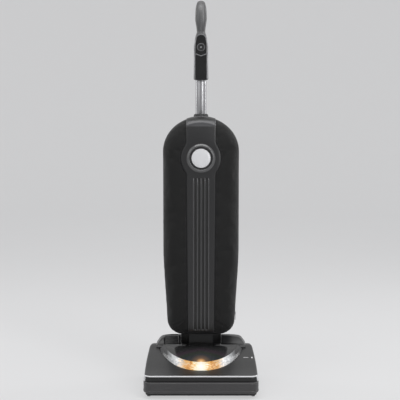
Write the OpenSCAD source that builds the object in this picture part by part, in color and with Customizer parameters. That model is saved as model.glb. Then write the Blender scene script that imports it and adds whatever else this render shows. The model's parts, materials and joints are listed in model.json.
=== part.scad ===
// Lightweight upright vacuum cleaner: a wide nozzle base, and an upright with a zipped
// bag housing, a handle tube and a loop grip that reclines on the base.
// Heights run up from the floor, and depths run back from the face of the bumper;
// in_frame() then centres the depth on the origin.

/* [Base] */
// Width over the bumper
base_w = 332; // [320:1:400]
// Depth from the bumper to the back of the rear wheels
base_d = 290; // [285:1:350]
// Height of the hood's nose, where the silver trim runs
nose_h = 66; // [62:1:72]
// Height of the shoulders beside the pivot blocks
shoulder_h = 113; // [109:1:118]
// Wall of the base mouldings
wall = 3; // [2.4:0.1:3.6]
// Radius of the hood's corners in plan
corner_r = 22; // [14:1:28]

/* [Headlamp] */
// Distance of the lens behind the bumper
lens_front = 54; // [50:1:60]
// Thickness of the clear lens
lens_t = 2.4; // [1.8:0.1:3]
// Radius of the lamp bulb
bulb_r = 7; // [5:0.5:8]

/* [Brush] */
// Radius over the bristle tips
brush_tip_r = 26.5; // [24:0.5:28]
// Radius of the brush roll's core
brush_core_r = 17; // [14:0.5:18]
// Height of the brush axis over the floor
brush_h = 30; // [29:0.5:33]
// Radius of the brush roll's steel stubs
brush_stub_r = 4; // [3:0.1:5]

/* [Motor] */
// Radius of the motor case
motor_r = 38; // [34:0.5:40]
// Height of the motor's axis over the floor
motor_h = 58; // [56:0.5:60]
// Radius of the motor shaft
shaft_r = 4; // [3:0.1:5]
// Radius of the fan case
fan_case_r = 44; // [42:0.5:46]

/* [Wheels] */
// Radius of the rear wheels
wheel_r = 31; // [28:0.5:33]
// Width of a rear wheel
wheel_w = 22; // [16:1:24]
// Radius of the wheel axles
axle_r = 4; // [3:0.1:5]
// Radius of the front rollers
roller_r = 12; // [10:0.5:12.5]

/* [Pivot] */
// Height of the recline axis over the floor
pivot_h = 86; // [84:0.5:90]
// Distance of the recline axis ahead of the back of the wheels
pivot_setback = 62; // [58:1:66]
// Outer radius of the pivot barrel
barrel_r = 24; // [22:0.5:25]
// Radius of the hollow pivot bushes
bush_r = 16; // [13:0.1:18]
// Half width of the well that the barrel turns in
well_hw = 61.7; // [58:0.1:64]

/* [Bag housing] */
// Height of the bag housing
house_h = 644; // [560:1:780]
// Width of the bag housing
house_w = 222; // [210:1:240]
// Width of the bag housing near its foot
house_foot_w = 199; // [180:1:206]
// Height of the arch at its top
arch_h = 100; // [70:1:120]
// Radius of its bottom corners
foot_r = 45; // [30:1:52]
// Wall of the bag housing
house_wall = 3; // [2.4:0.1:3.6]
// Radius of the padded front edge
front_edge_r = 34; // [26:1:36]
// Radius of the hard rear edge
rear_edge_r = 30; // [22:1:32]

/* [Spine strip] */
// Width of the strip at its top
strip_top_w = 87.4; // [70:1:96]
// Width of the strip at its foot
strip_foot_w = 77; // [60:1:86]
// How far the strip stands proud of the cover
strip_t = 4; // [3:0.1:5]
// Radius of the round plate
plate_r = 58.3; // [50:0.1:64]
// Radius of the medallion
medallion_r = 27.7; // [22:0.1:30]
// Spacing of the ribs
rib_pitch = 11; // [9:0.5:12]

/* [Handle] */
// Radius of the handle tube
tube_r = 16; // [13:0.1:19.2]
// Wall of the handle tube
tube_wall = 1.5; // [1:0.1:2]
// Length of tube that shows between the housing and the grip
tube_show = 110; // [80:1:160]
// Height of the grip from its foot to its top
grip_h = 234; // [225:1:250]
// Depth of the hand loop between the middles of its legs
loop_d = 66; // [60:1:70]

/* [Fits] */
// Running clearance of a shaft in its bore
run = 0.05; // [0.02:0.01:0.08]
// Gap between pieces that seat on each other
seat = 0.3; // [0.1:0.05:0.4]
// Clearance of a pressed fit
press = 0.02; // [0.01:0.01:0.04]

/* [Hidden] */
$fn = 48;

// Base places
hood_hw = base_w / 2 - 2.6;
nose_d = 10;
hood_low = 47;
bumper_low = 17;
bumper_end = base_d - 68;
pivot_d = base_d - pivot_setback;
hood_end = pivot_d + 34;
wheel_d = base_d - wheel_r;
wheel_x = base_w / 2 - 46;
floor_low = 9;
floor_t = 3;
brush_d = 48;
guard_xs = [-105, -35, 35, 105];
guard_t = 3;
guard_gap = 2.5;
chamber_r = brush_tip_r + 4.5;
chamber_hw = base_w / 2 - 24.5;
chamber_t = 2.5;
motor_d = pivot_d - 78;
belt_x = 85;
belt_w = 9;
belt_t = 2;
pulley_r = 7;
groove_r = 15;
roller_d = 40;
roller_x = base_w / 2 - 16;
roller_w = 10;
roller_pin_r = 2.5;
post_x = well_hw + wall + 0.5;
post_t = 4.2;
chassis_inset = 4;
cover_end = pivot_d - 29;

// Lens and dome ellipses, outer (lower) edge and inner (upper) edge
lens_out_hw = base_w / 2 - 36;
lens_in_hw = base_w / 2 - 54;
lens_out_d = pivot_d + 12;
lens_in_d = pivot_d - 3;
lens_in_front = lens_front + 21;
lens_low_front = nose_h + 6;
lens_high_front = nose_h + 25.5;
lens_high_rear = shoulder_h + 4;
dome_h = shoulder_h + 8;
lens_out_turn = 72.8;
lens_in_turn = 79.2;

// Upright places
house_low = pivot_h + 69;
house_top = house_low + house_h;
arch_z = house_top - arch_h;
taper_z = house_low + house_h * 0.41;
part_d = pivot_d - 28;
zip_hw = 2.7;
pan_top = house_low + 8;
front_bend_d = part_d - 32;
rear_bend_d = part_d + 36;
tube_d = pivot_d + 10;
socket_foot = house_top - 109;
socket_r = tube_r + 6;
grip_foot = house_top + tube_show;
grip_top = grip_foot + grip_h;
plate_z = house_top - 118;
fill_d = pivot_d + 7;
fill_r = 15;
fill_wall = 2;
fill_bend_r = 17;
spout_z = socket_foot - 46;
spout_end = part_d;
face_d = front_bend_d - front_edge_r - strip_t - 6.5;
bag_back = part_d + 11.5;
bag_front = front_bend_d - front_edge_r + 6;
switch_z = grip_foot + 95.6;
panel_foot = grip_foot + 76;
panel_top = grip_foot + 133;
hook_z = grip_foot + 31;
low_hook_z = house_low + 445;
pedal_in = post_x + post_t + 0.5;
pedal_out = pedal_in + 39;
pedal_pin_d = pivot_d + 12;
pedal_pin_h = pivot_h + 34;
pedal_pin_r = 2.5;
pedal_ear = pedal_out + 3.4;
ear_low = wheel_r * 2 + 3.5;
spring_d = pivot_d - 9;
spring_low = pivot_h + 19.2;
spring_high = pivot_h + 34.8;
spring_r = 4;
wire_r = 0.7;

// ---- Helpers ----

module in_frame() translate([0, -base_d / 2, 0]) children();

// A depth-height profile, w wide and centred on x
module across(w, x = 0) translate([x, 0, 0]) rotate([90, 0, 90])
    linear_extrude(w, center = true) children();

// A profile seen from the front, from depth d0 back to d1
module facing(d0, d1) translate([0, d1, 0]) rotate([90, 0, 0]) linear_extrude(d1 - d0) children();

// A rod along x
module rod(r, x0, x1, d, z) translate([x0, d, z]) rotate([0, 90, 0]) cylinder(r = r, h = x1 - x0);

// A rod along the depth
module stud(r, d0, d1, x, z) translate([x, d1, z]) rotate([90, 0, 0]) cylinder(r = r, h = d1 - d0);

// A revolve about an axis along the depth; the profile is [radius, depth behind d]
module turned_facing(d, z) translate([0, d, z]) rotate([-90, 0, 0]) rotate_extrude() children();

module box(x0, x1, d0, d1, z0, z1) translate([x0, d0, z0]) cube([x1 - x0, d1 - d0, z1 - z0]);

module both_sides() { children(); mirror([1, 0, 0]) children(); }

function arc(c, r, a0, a1, n = 8) = [for (i = [0:n]) let (a = a0 + (a1 - a0) * i / n)
    [c[0] + r * cos(a), c[1] + r * sin(a)]];
function flip(pts) = [for (i = [len(pts) - 1:-1:0]) [-pts[i][0], pts[i][1]]];
function mix(a, b, t) = a + (b - a) * t;
function at_depth(pts, d) = [for (p = pts) [p[0], d, p[1]]];
function at_height(pts, z) = [for (p = pts) [p[0], p[1], z]];

// Closed solid through rings of points, with flat convex ends
module loft(rings) {
    m = len(rings);
    n = len(rings[0]);
    sides = [for (i = [0:m - 2], j = [0:n - 1]) let (k = (j + 1) % n)
        each [[i * n + j, (i + 1) * n + k, i * n + k], [i * n + j, (i + 1) * n + j, (i + 1) * n + k]]];
    polyhedron([for (r = rings) each r],
        concat(sides, [[for (j = [0:n - 1]) j]], [[for (j = [n - 1:-1:0]) (m - 1) * n + j]]));
}

// Wall between two matching grids of points, its skins; ring closes each row on itself,
// and capped closes the last row with a flat end
module moulded_wall(outer, inner, ring = false, capped = false) {
    m = len(outer);
    n = len(outer[0]);
    o = m * n;
    last = ring ? n - 1 : n - 2;
    skins = [for (i = [0:m - 2], j = [0:last]) let (k = (j + 1) % n, a = i * n + j, b = i * n + k)
        each [[a, b + n, b], [a, a + n, b + n], [o + a, o + b, o + b + n], [o + a, o + b + n, o + a + n]]];
    rim = [for (j = [0:last]) let (k = (j + 1) % n) each [[o + j, k, o + k], [o + j, j, k]]];
    e = (m - 1) * n;
    end = capped
        ? [[for (j = [n - 1:-1:0]) e + j], [for (j = [0:n - 1]) o + e + j]]
        : [for (j = [0:last]) let (k = (j + 1) % n)
            each [[e + j, o + e + k, e + k], [e + j, o + e + j, o + e + k]]];
    ends = ring ? [] : [for (i = [0:m - 2]) let (a = i * n, b = i * n + n - 1)
        each [[a, o + a + n, a + n], [a, o + a, o + a + n], [b, o + b + n, o + b], [b, b + n, o + b + n]]];
    polyhedron(concat([for (r = outer) each r], [for (r = inner) each r]),
        concat(skins, rim, end, ends));
}

// ---- Base outlines ----

// Half width of the hood at a depth: a rounded front corner, then a slow taper to the back
function hood_half(d) = d < nose_d + corner_r
    ? hood_hw - corner_r + sqrt(max(0, pow(corner_r, 2) - pow(nose_d + corner_r - d, 2)))
    : hood_hw - 8.4 * pow((d - nose_d - corner_r) / (pivot_d - 40), 2);

// Height of the hood's top line at a depth
function hood_top(d) = lookup(d, [[nose_d, nose_h - 5], [nose_d + 2, nose_h - 1.5], [nose_d + 6, nose_h],
    [lens_front, lens_low_front], [pivot_d - 43, shoulder_h - 8], [pivot_d - 8, shoulder_h],
    [hood_end - 14, shoulder_h - 3], [hood_end - 4, shoulder_h - 12], [hood_end, shoulder_h - 24]]);

// U-shaped plan line of the base, grown gx at the sides and gd at the front
function plan_line(gx, gd, end) = let (c = [hood_hw - corner_r, nose_d + corner_r],
    right = concat([for (a = [0:11.25:90])
        [c[0] + (corner_r + gx) * sin(a), c[1] - (corner_r + gd) * cos(a)]],
        [for (i = [1:5]) let (d = mix(c[1], end, i / 5)) [hood_half(d) + gx, d]])) concat(flip(right), right);

// Section of the hood at a depth, inset by t
function hood_section(d, t, low) = let (w = hood_half(d) - t, z = hood_top(d) - t, crown = 2,
    r = max(1, lookup(d, [[nose_d, 2], [nose_d + 10, 6], [lens_front, 9]]) - t),
    half = concat([[w, low]], arc([w - r, z - crown - r], r, 0, 90, 4),
        [[(w - r) * 0.6, z - crown * 0.36], [(w - r) * 0.3, z - crown * 0.09]]))
    concat(half, [[0, z]], flip(half));

hood_depths = concat([for (a = [0:15:90]) nose_d + corner_r - corner_r * cos(a)], [lens_front,
    mix(lens_front, pivot_d - 43, 0.5), pivot_d - 43, pivot_d - 8, hood_end - 14, hood_end - 4, hood_end]);

function lens_low_edge(u, g = 0) = let (a = u * lens_out_turn,
    d = lens_out_d - (lens_out_d - lens_front + g) * cos(a)) [(lens_out_hw + g) * sin(a), d, hood_top(d)];
function lens_high_edge(u, g = 0) = let (a = u * lens_in_turn,
    d = lens_in_d - (lens_in_d - lens_in_front + g) * cos(a)) [(lens_in_hw + g) * sin(a), d, dome_edge(d)];
function dome_edge(d) = mix(lens_high_front, lens_high_rear,
    (d - lens_in_front) / (pivot_d - 31 - lens_in_front));
function dome_crown(d) = mix(lens_high_front, dome_h,
    sin(90 * min(1, (d - lens_in_front) / (pivot_d - 38 - lens_in_front))));
function ellipse_plan(hw, d, front, g) = [for (a = [-90:4:90])
    [(hw + g) * sin(a), d - (d - front + g) * cos(a)]];

// Raised block beside the pivot well, inset by t
module pivot_block(t) intersection() {
    across(base_w) polygon(concat(
        [[pivot_d - 36 + t, hood_low - t * 3], [pivot_d - 34 + t, shoulder_h + 2 - t]],
        arc([pivot_d, pivot_h], pivot_block_r - t, 98, -20, 14), [[pivot_d + 51 - t, hood_low - t * 3]]));
    facing(pivot_d - 60, pivot_d + 70) polygon([[well_hw + t, 20], [well_hw + t, block_top - t],
        [block_in - t / 2, block_top - t], [block_out - t, block_top - 7 - t],
        [block_foot - t, shoulder_h - 1 - t], [block_foot - t, 20]]);
}
pivot_block_r = 54;
block_top = pivot_h + pivot_block_r;
block_in = well_hw + 12;
block_out = base_w / 2 - 48.5;
block_foot = base_w / 2 - 31.4;

// ---- Base pieces ----

// Floor, rim and brush chamber: the outer form that the chassis and its nose rail share
module chassis_form() {
    end = hood_end - 2;
    inner = -chassis_inset - chamber_t;
    translate([0, 0, floor_low]) linear_extrude(floor_t)
        polygon(plan_line(-chassis_inset, -chassis_inset, end));
    translate([0, 0, floor_low]) linear_extrude(hood_low - 1 - floor_low) difference() {
        polygon(plan_line(-chassis_inset, -chassis_inset, end));
        polygon(plan_line(inner, inner, end - chamber_t));
    }
    across(chamber_hw * 2) polygon(concat([[brush_d + chamber_r + chamber_t, floor_low]],
        arc([brush_d, brush_h], chamber_r + chamber_t, 0, 180, 24),
        [[brush_d - chamber_r - chamber_t, floor_low]]));
}
module brush_room() across(chamber_hw * 2 - 2 * chamber_t) polygon(concat([[brush_d + chamber_r, 0]],
    arc([brush_d, brush_h], chamber_r, 0, 180, 24), [[brush_d - chamber_r, 0]]));

// Where the nose rail closes the front of the brush chamber, g larger all round
rail_hw = chamber_hw - 3;
rail_end = brush_d - chamber_r + 3.7;
module rail_place(g) box(-rail_hw - g, rail_hw + g, 0, rail_end + g, 0, 200);

module nose_rail() color([0.16, 0.16, 0.17]) in_frame() difference() {
    intersection() {
        chassis_form();
        rail_place(0);
    }
    brush_room();
}

module chassis() color([0.16, 0.16, 0.17]) in_frame() difference() {
    union() {
        chassis_form();
        box(-post_x - post_t, post_x + post_t, cover_end - 2, cover_end + 0.5, floor_low, shoulder_h + 3);
        both_sides() pivot_post();
        for (x = [-38, 38]) motor_saddle(motor_r, x);
        motor_saddle(fan_case_r, -69);
        both_sides() for (x = [wheel_x - wheel_w / 2 - 6, wheel_x + wheel_w / 2 + 1]) axle_cheek(x);
        both_sides() roller_cheek();
        pedal_ears();
        box(-pedal_ear, -post_x, pedal_pin_d - 12, pedal_pin_d + 12, ear_low, ear_low + wall);
        box(-14, 14, lens_front + 27, lens_front + 30, floor_low, motor_h - 2);
    }
    brush_room();
    rail_place(seat);
    both_sides() box(wheel_x - wheel_w / 2 - 1, wheel_x + wheel_w / 2 + 1, wheel_d - wheel_r - 2, base_d,
        0, hood_low);
    both_sides() box(roller_x - roller_w / 2 - 0.5, roller_x + roller_w / 2 + 0.5, roller_d - roller_r - 2,
        roller_d + roller_r + 2, 0, floor_low + floor_t + 1);
    box(belt_x - 7, belt_x + 7, brush_d, brush_d + chamber_r + 6, brush_h - 14, brush_h + 40);
    box(-belt_x - 20, -belt_x - 4, brush_d + 10, brush_d + chamber_r + 6, brush_h - 8, brush_h + 18);
    rod(bush_r + press, -base_w / 2, base_w / 2, pivot_d, pivot_h);
    both_sides() rod(axle_r + press, wheel_x - 18, wheel_x + 18, wheel_d, wheel_r);
    both_sides() rod(roller_pin_r + press, chamber_hw - 1, roller_x + 7, roller_d, roller_r);
    rod(pedal_pin_r + press, -pedal_out - 4, -post_x + 1, pedal_pin_d, pedal_pin_h);
    box(-well_hw, well_hw, hood_end - 12, base_d, floor_low - 1, hood_low);
    for (p = screw_places) translate([p[0], p[1], floor_low - 1]) cylinder(r = screw_r + 0.1, h = 6);
}

// Post that holds a pivot bush
module pivot_post() across(post_t, post_x + post_t / 2) polygon(concat([[pivot_d - 26, floor_low]],
    arc([pivot_d, pivot_h], bush_r + 7, 165, 15, 12), [[pivot_d + 26, floor_low]]));

// Saddle under a round case of radius r
module motor_saddle(r, x) across(5, x) difference() {
    translate([motor_d - r * 0.8, floor_low]) square([r * 1.6, motor_h - floor_low - r * 0.45]);
    translate([motor_d, motor_h]) circle(r = r + seat);
}

// Cheek beside a rear wheel, with the axle's boss
module axle_cheek(x) across(5, x + 2.5) polygon(concat([[wheel_d - 14, floor_low]],
    arc([wheel_d, wheel_r], 9, 150, 30, 8), [[wheel_d + 9, wheel_r - 6], [hood_end - 4, floor_low]]));

module roller_cheek() box(roller_x + roller_w / 2 + 0.5, roller_x + roller_w / 2 + 2.3,
    roller_d - 7, roller_d + 7, floor_low, 2 * roller_r + 2);

// Ears that carry the pedal's pin over the left wheel, and the ledge for its spring
module pedal_ears() {
    for (e = [[-post_x - post_t, post_t], [-pedal_ear, 2.9]]) across(e[1], e[0] + e[1] / 2)
        polygon(concat([[pedal_pin_d - 12, ear_low]],
            arc([pedal_pin_d, pedal_pin_h], pedal_pin_r + wall, 170, 10, 8), [[pedal_pin_d + 12, ear_low]]));
    box(-pedal_ear, -post_x, spring_d - 5, spring_d + 17, spring_low - 2.5, spring_low);
}

screw_places = [for (x = [-1, 1], p = [[0.9, 96], [0.48, 108], [0.5, 190]]) [x * p[0] * chamber_hw, p[1]]];
screw_r = 1.5;
sole_t = 1.2;
guard_low = floor_low - 4;

module sole_plate() color([0.62, 0.62, 0.64]) in_frame() difference() {
    union() {
        translate([0, 0, floor_low - sole_t]) linear_extrude(sole_t)
            polygon(plan_line(-chassis_inset - 3, -chassis_inset - 2, wheel_d - wheel_r - 6));
        for (x = guard_xs) across(guard_t, x) polygon([[nose_d + 8, floor_low - sole_t],
            [nose_d + 14, guard_low], [brush_d + 24, guard_low], [brush_d + 32, floor_low - sole_t]]);
    }
    for (i = [-2:2]) box(i * 70 - 33.5, i * 70 + 33.5, nose_d + 11, brush_d + 27, 0, 20);
    both_sides() box(chamber_hw, base_w, roller_d - roller_r - 3, roller_d + roller_r + 3, 0, 20);
    for (p = screw_places) translate([p[0], p[1], 0]) cylinder(r = screw_r + seat, h = 20);
}

module sole_screws() color("silver") in_frame() for (p = screw_places) translate([p[0], p[1], 0]) {
    translate([0, 0, floor_low - sole_t - 1.6]) cylinder(r = 3.4, h = 1.6);
    translate([0, 0, floor_low - 2]) cylinder(r = screw_r, h = 6);
}

module bumper() color([0.27, 0.27, 0.28]) in_frame() {
    levels = [[bumper_low, 3.2], [bumper_low + 2, 1.2], [bumper_low + 5, 0.3], [bumper_low + 9, 0],
        [hood_low - 8, 0], [hood_low - 3, 0.6], [hood_low - 0.6, 1.6]];
    inner = plan_line(seat - chassis_inset, seat - chassis_inset, bumper_end);
    moulded_wall([for (l = levels) at_height(plan_line(2.6 - l[1], nose_d - l[1], bumper_end), l[0])],
        [for (l = levels) at_height(inner, l[0])]);
}

// Band that wraps the hood's nose, with its ends turned down at the corners
module trim_band(g) {
    intersection() {
        translate([0, 0, nose_h - 4.5 - g]) linear_extrude(5 + 2 * g) trim_ring(g);
        box(-base_w, base_w, 0, nose_d + corner_r + 2 + g, 0, 200);
    }
    intersection() {
        translate([0, 0, hood_low + 0.2 - g]) linear_extrude(nose_h - hood_low) trim_ring(g);
        box(-base_w, base_w, nose_d + corner_r - 14 - g, nose_d + corner_r + 0.5 + g, 0, nose_h);
    }
}
module trim_ring(g) difference() {
    polygon(plan_line(1.2 + g, 1.5 + g, bumper_end));
    polygon(plan_line(-2 - g, -2.5 - g, bumper_end + 1));
}

module trim_strip() color([0.76, 0.76, 0.77]) in_frame() trim_band(0);

module hood() color([0.24, 0.24, 0.25]) in_frame() difference() {
    union() {
        difference() {
            union() {
                loft([for (d = turned(hood_depths)) at_depth(hood_section(d, 0, hood_low), d)]);
                both_sides() pivot_block(0);
            }
            loft([for (d = turned(hood_depths)) let (e = min(max(d, nose_d + wall), hood_end - wall))
                at_depth(hood_section(e, wall, hood_low - 5), e + (d - e) * 0.001)]);
            both_sides() pivot_block(wall);
        }
        both_sides() for (d = [nose_d + 92, pivot_d - 60]) translate([hood_half(d) - 7, d, hood_low])
            cylinder(r = 3.2, h = hood_top(d) - hood_low - 6);
    }
    difference() {
        translate([0, 0, hood_low]) linear_extrude(200)
            polygon(ellipse_plan(lens_out_hw, lens_out_d, lens_front, seat));
        box(-base_w, base_w, cover_end - 4, base_d, 0, 400);
    }
    box(-lens_in_hw - seat, lens_in_hw + seat, pivot_d - 60, cover_end + 0.8, shoulder_h - 20, 400);
    box(-well_hw, well_hw, cover_end - 6, base_d, 0, 400);
    both_sides() rod(bush_r + 1.5, well_hw - 1, well_hw + 8, pivot_d, pivot_h);
    both_sides() box(well_hw - 1, well_hw + 8, pivot_d - bush_r - 1.5, pivot_d + bush_r + 1.5, 0, pivot_h);
    both_sides() rod(wheel_r + 3, wheel_x - wheel_w / 2 - 7, wheel_x + wheel_w / 2 + 7, wheel_d, wheel_r);
    both_sides() box(wheel_x - wheel_w / 2 - 7, wheel_x + wheel_w / 2 + 7, wheel_d - wheel_r - 3, base_d,
        0, wheel_r);
    box(-pedal_out - 0.6, -pedal_in + 0.6, pivot_d - 37, pedal_pin_d + 7, shoulder_h - 4, 300);
    trim_band(0.15);
}

// Skin of the dome, t under its face
dome_turns = [for (i = [0:12]) mix(6, acos((lens_in_d - cover_end) / (lens_in_d - lens_in_front)), i / 12)];
function dome_skin(t) = [for (a = dome_turns)
    let (d = lens_in_d - (lens_in_d - lens_in_front - seat) * cos(a),
    w = (lens_in_hw - seat) * sin(a) - t) [for (b = [-90:15:90])
    [w * sin(b), d, mix(dome_edge(d), dome_crown(d), pow(max(0, cos(b)), 1.5)) - t]]];
module motor_cover() color([0.2, 0.2, 0.21]) in_frame() moulded_wall(dome_skin(0), dome_skin(2.5));

// Skin of the lens, t under its face, a little bulged between its two edges
function lens_out(u) = let (a = u * 76) [sin(a) * 0.66, -cos(a) * 0.66, 0.75];
function lens_skin(t) = [for (i = [16:-1:-16]) let (u = i / 16, lo = lens_low_edge(u), hi = lens_high_edge(u))
    [for (v = [0:0.25:1]) let (o = lens_out(u)) mix(lo, hi, v) + o * 2.2 * sin(180 * v)
        - t * [o[0] * (1 - v), o[1] * (1 - v), o[2]]]];
module lens() color([0.95, 0.93, 0.88]) in_frame() moulded_wall(lens_skin(0), lens_skin(lens_t));

module lamp_bulb() color([1, 0.85, 0.5]) in_frame() {
    translate([0, lens_front + 20, motor_h + 15]) sphere(r = bulb_r);
    stud(bulb_r * 0.6, lens_front + 20, lens_front + bulb_r + 22, 0, motor_h + 15);
}

module lamp_holder() color([0.12, 0.12, 0.12]) in_frame() {
    difference() {
        stud(bulb_r, lens_front + 26, lens_front + 38, 0, motor_h + 15);
        stud(bulb_r * 0.6 + seat, lens_front + 24, lens_front + bulb_r + 23, 0, motor_h + 15);
    }
    box(-8, 8, lens_front + 30.3, lens_front + 36, motor_h - 8, motor_h + 10);
}

module reflector() color([0.8, 0.8, 0.8]) in_frame() difference() {
    translate([0, lens_front + 29, motor_h + 15]) rotate([90, 0, 0]) rotate_extrude()
        polygon([[bulb_r + 0.5, 0], [13, 3], [19, 9], [20, 9], [14, 2], [bulb_r + 0.5, -1]]);
    box(-30, 30, lens_front, lens_front + 40, 0, motor_h + 4);
    box(-30, 30, lens_front, lens_front + 40, motor_h + 25, motor_h + 60);
}

module brush_core() color([0.55, 0.42, 0.28]) in_frame() {
    hw = chamber_hw - 10;
    rod(brush_core_r, -hw, belt_x - 6.5, brush_d, brush_h);
    rod(groove_r, belt_x - 6.5, belt_x + 6.5, brush_d, brush_h);
    rod(brush_core_r, belt_x + 6.5, hw, brush_d, brush_h);
    rod(brush_stub_r, -hw - 6, hw + 6, brush_d, brush_h);
}

module brush_bristles() color([0.1, 0.1, 0.1]) in_frame() {
    hw = chamber_hw - 12;
    clear = guard_gap + guard_t / 2;
    ends = concat([-hw], [for (x = guard_xs) each [x - clear, x + clear]], [hw]);
    cuts = concat(slice_to(ends, 7), [belt_x - 10, belt_x + 10], slice(ends, 7));
    for (i = [0:2:len(cuts) - 2], side = [0, 180]) let (long = cuts[i + 1] - cuts[i])
        translate([cuts[i], brush_d, brush_h]) rotate([0, 90, 0]) rotate([0, 0, side + cuts[i] * 0.8])
            linear_extrude(long, twist = -long * 0.8, slices = ceil(long / 14), $fn = 4)
                translate([brush_core_r + seat, -2.5]) square([brush_tip_r - brush_core_r - seat, 5]);
}

module brush_bearings() color([0.1, 0.1, 0.1]) in_frame() both_sides() difference() {
    across(7, chamber_hw - 6.3) translate([brush_d - 11, brush_h - 11]) square(22);
    rod(brush_stub_r + run, chamber_hw - 12, chamber_hw - 3.5, brush_d, brush_h);
}

// Loop round the motor pulley and the brush groove, g outside them
function belt_loop(g) = let (a = [motor_d, motor_h], b = [brush_d, brush_h],
    run_dir = atan2(a[1] - b[1], a[0] - b[0]), touch = acos((groove_r - pulley_r) / norm(a - b)))
    concat(arc(a, pulley_r + g, run_dir - touch, run_dir + touch, 10),
        arc(b, groove_r + g, run_dir + touch, run_dir - touch + 360, 16));

module drive_belt() color([0.08, 0.08, 0.08]) in_frame() across(belt_w, belt_x) difference() {
    polygon(belt_loop(seat + belt_t));
    polygon(belt_loop(seat));
}

module motor_case() color([0.45, 0.45, 0.47]) in_frame() difference() {
    translate([0, motor_d, motor_h]) rotate([0, 90, 0]) rotate_extrude() polygon([[0, -49], [20, -49],
        [22, -44], [motor_r - 5, -42], [motor_r, -36], [motor_r, 40], [motor_r - 5, 46], [20, 48], [14, 58],
        [0, 58]]);
    rod(shaft_r + run, -60, 70, motor_d, motor_h);
    for (a = [0:30:330]) translate([45, motor_d, motor_h]) rotate([a, 0, 0]) translate([0, -2.5, 22])
        cube([20, 5, 8]);
}

module motor_shaft() color([0.6, 0.6, 0.62]) in_frame() {
    rod(shaft_r, -84, belt_x + 9, motor_d, motor_h);
    rod(pulley_r, belt_x - 6, belt_x + 6, motor_d, motor_h);
    rod(pulley_r + 3, belt_x - 7.5, belt_x - 6, motor_d, motor_h);
    rod(pulley_r + 3, belt_x + 6, belt_x + 7.5, motor_d, motor_h);
}

module fan_wheel() color([0.2, 0.2, 0.2]) in_frame() difference() {
    union() {
        rod(fan_case_r - 7, -57, -55, motor_d, motor_h);
        rod(9, -80, -55, motor_d, motor_h);
        for (a = [0:45:315]) translate([0, motor_d, motor_h]) rotate([a, 0, 0]) across_blade();
    }
    rod(shaft_r + press, -90, -50, motor_d, motor_h);
}

// One curved fan blade, standing on the back plate
module across_blade() intersection() {
    translate([-76, 24, 0]) rotate([0, 90, 0]) difference() {
        cylinder(r = 19, h = 20);
        translate([0, 0, -1]) cylinder(r = 17, h = 22);
    }
    box(-76, -56.5, 7, fan_case_r - 8, 0, 30);
}

module fan_case() color([0.25, 0.25, 0.26]) in_frame() difference() {
    union() {
        rod(fan_case_r, -86, -51, motor_d, motor_h);
        across(15, -78.5) polygon(concat([[motor_d, motor_h + 2], [motor_d + 8, motor_h + 30]],
            arc([pivot_d, pivot_h], bush_r - 0.5, 100, -60, 12), [[motor_d + 36, motor_h + 8]]));
    }
    rod(fan_case_r - 3, -83, -53.5, motor_d, motor_h);
    across(10, -78.5) polygon(concat([[motor_d + 4, motor_h + 5], [motor_d + 12, motor_h + 26]],
        arc([pivot_d, pivot_h], bush_r - 3, 100, -60, 12), [[motor_d + 36, motor_h + 11]]));
    rod(shaft_r + 2, -60, -50, motor_d, motor_h);
    rod(18, -90, -80, motor_d, motor_h);
    rod(bush_r - 3.5, -76, -70, pivot_d, pivot_h);
}

module intake_duct() color([0.2, 0.2, 0.21]) in_frame() difference() {
    across(19.5, -96.3) polygon(intake_profile(0));
    across(15, -96.3) polygon(intake_profile(2.3));
    box(-104, -88.7, brush_d + 20, brush_d + chamber_r + 8, brush_h - 6, brush_h + 16);
    rod(18, -92, -80, motor_d, motor_h);
}
function intake_profile(t) = concat([[brush_d + chamber_r + chamber_t + seat + t, brush_h - 10 + t],
    [motor_d - 4, motor_h - 24 + t]], arc([motor_d, motor_h], 24 - t, -90, 90, 12),
    [[brush_d + chamber_r + chamber_t + seat + t, brush_h + 22 - t]]);

module rear_hub(s) in_frame() difference() {
    translate([s * wheel_x, wheel_d, wheel_r]) rotate([0, 90, 0]) rotate_extrude() polygon([
        [0, -wheel_w / 2], [9, -wheel_w / 2], [10, -wheel_w / 2 + 5], [wheel_r - 12, -wheel_w / 2 + 5],
        [wheel_r - 11, -wheel_w / 2 + 1], [wheel_r - 9, -wheel_w / 2 + 1], [wheel_r - 9, wheel_w / 2 - 1],
        [wheel_r - 11, wheel_w / 2 - 1], [wheel_r - 12, wheel_w / 2 - 5], [10, wheel_w / 2 - 5],
        [9, wheel_w / 2], [0, wheel_w / 2]]);
    rod(axle_r + run, s * wheel_x - wheel_w, s * wheel_x + wheel_w, wheel_d, wheel_r);
}
module rear_tyre(s) in_frame() translate([s * wheel_x, wheel_d, wheel_r]) rotate([0, 90, 0]) rotate_extrude()
    polygon([[wheel_r - 9, -wheel_w / 2 + 1], [wheel_r - 2, -wheel_w / 2 + 1], [wheel_r, -wheel_w / 2 + 4],
        [wheel_r, -2], [wheel_r - 1, -1], [wheel_r - 1, 1], [wheel_r, 2], [wheel_r, wheel_w / 2 - 4],
        [wheel_r - 2, wheel_w / 2 - 1], [wheel_r - 9, wheel_w / 2 - 1]]);
module rear_hub_left() color([0.2, 0.2, 0.2]) rear_hub(-1);
module rear_hub_right() color([0.2, 0.2, 0.2]) rear_hub(1);
module rear_tyre_left() color([0.1, 0.1, 0.1]) rear_tyre(-1);
module rear_tyre_right() color([0.1, 0.1, 0.1]) rear_tyre(1);

module wheel_axles() color("silver") in_frame() both_sides()
    rod(axle_r, wheel_x - wheel_w / 2 - 5.5, wheel_x + wheel_w / 2 + 5.5, wheel_d, wheel_r);

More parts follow.
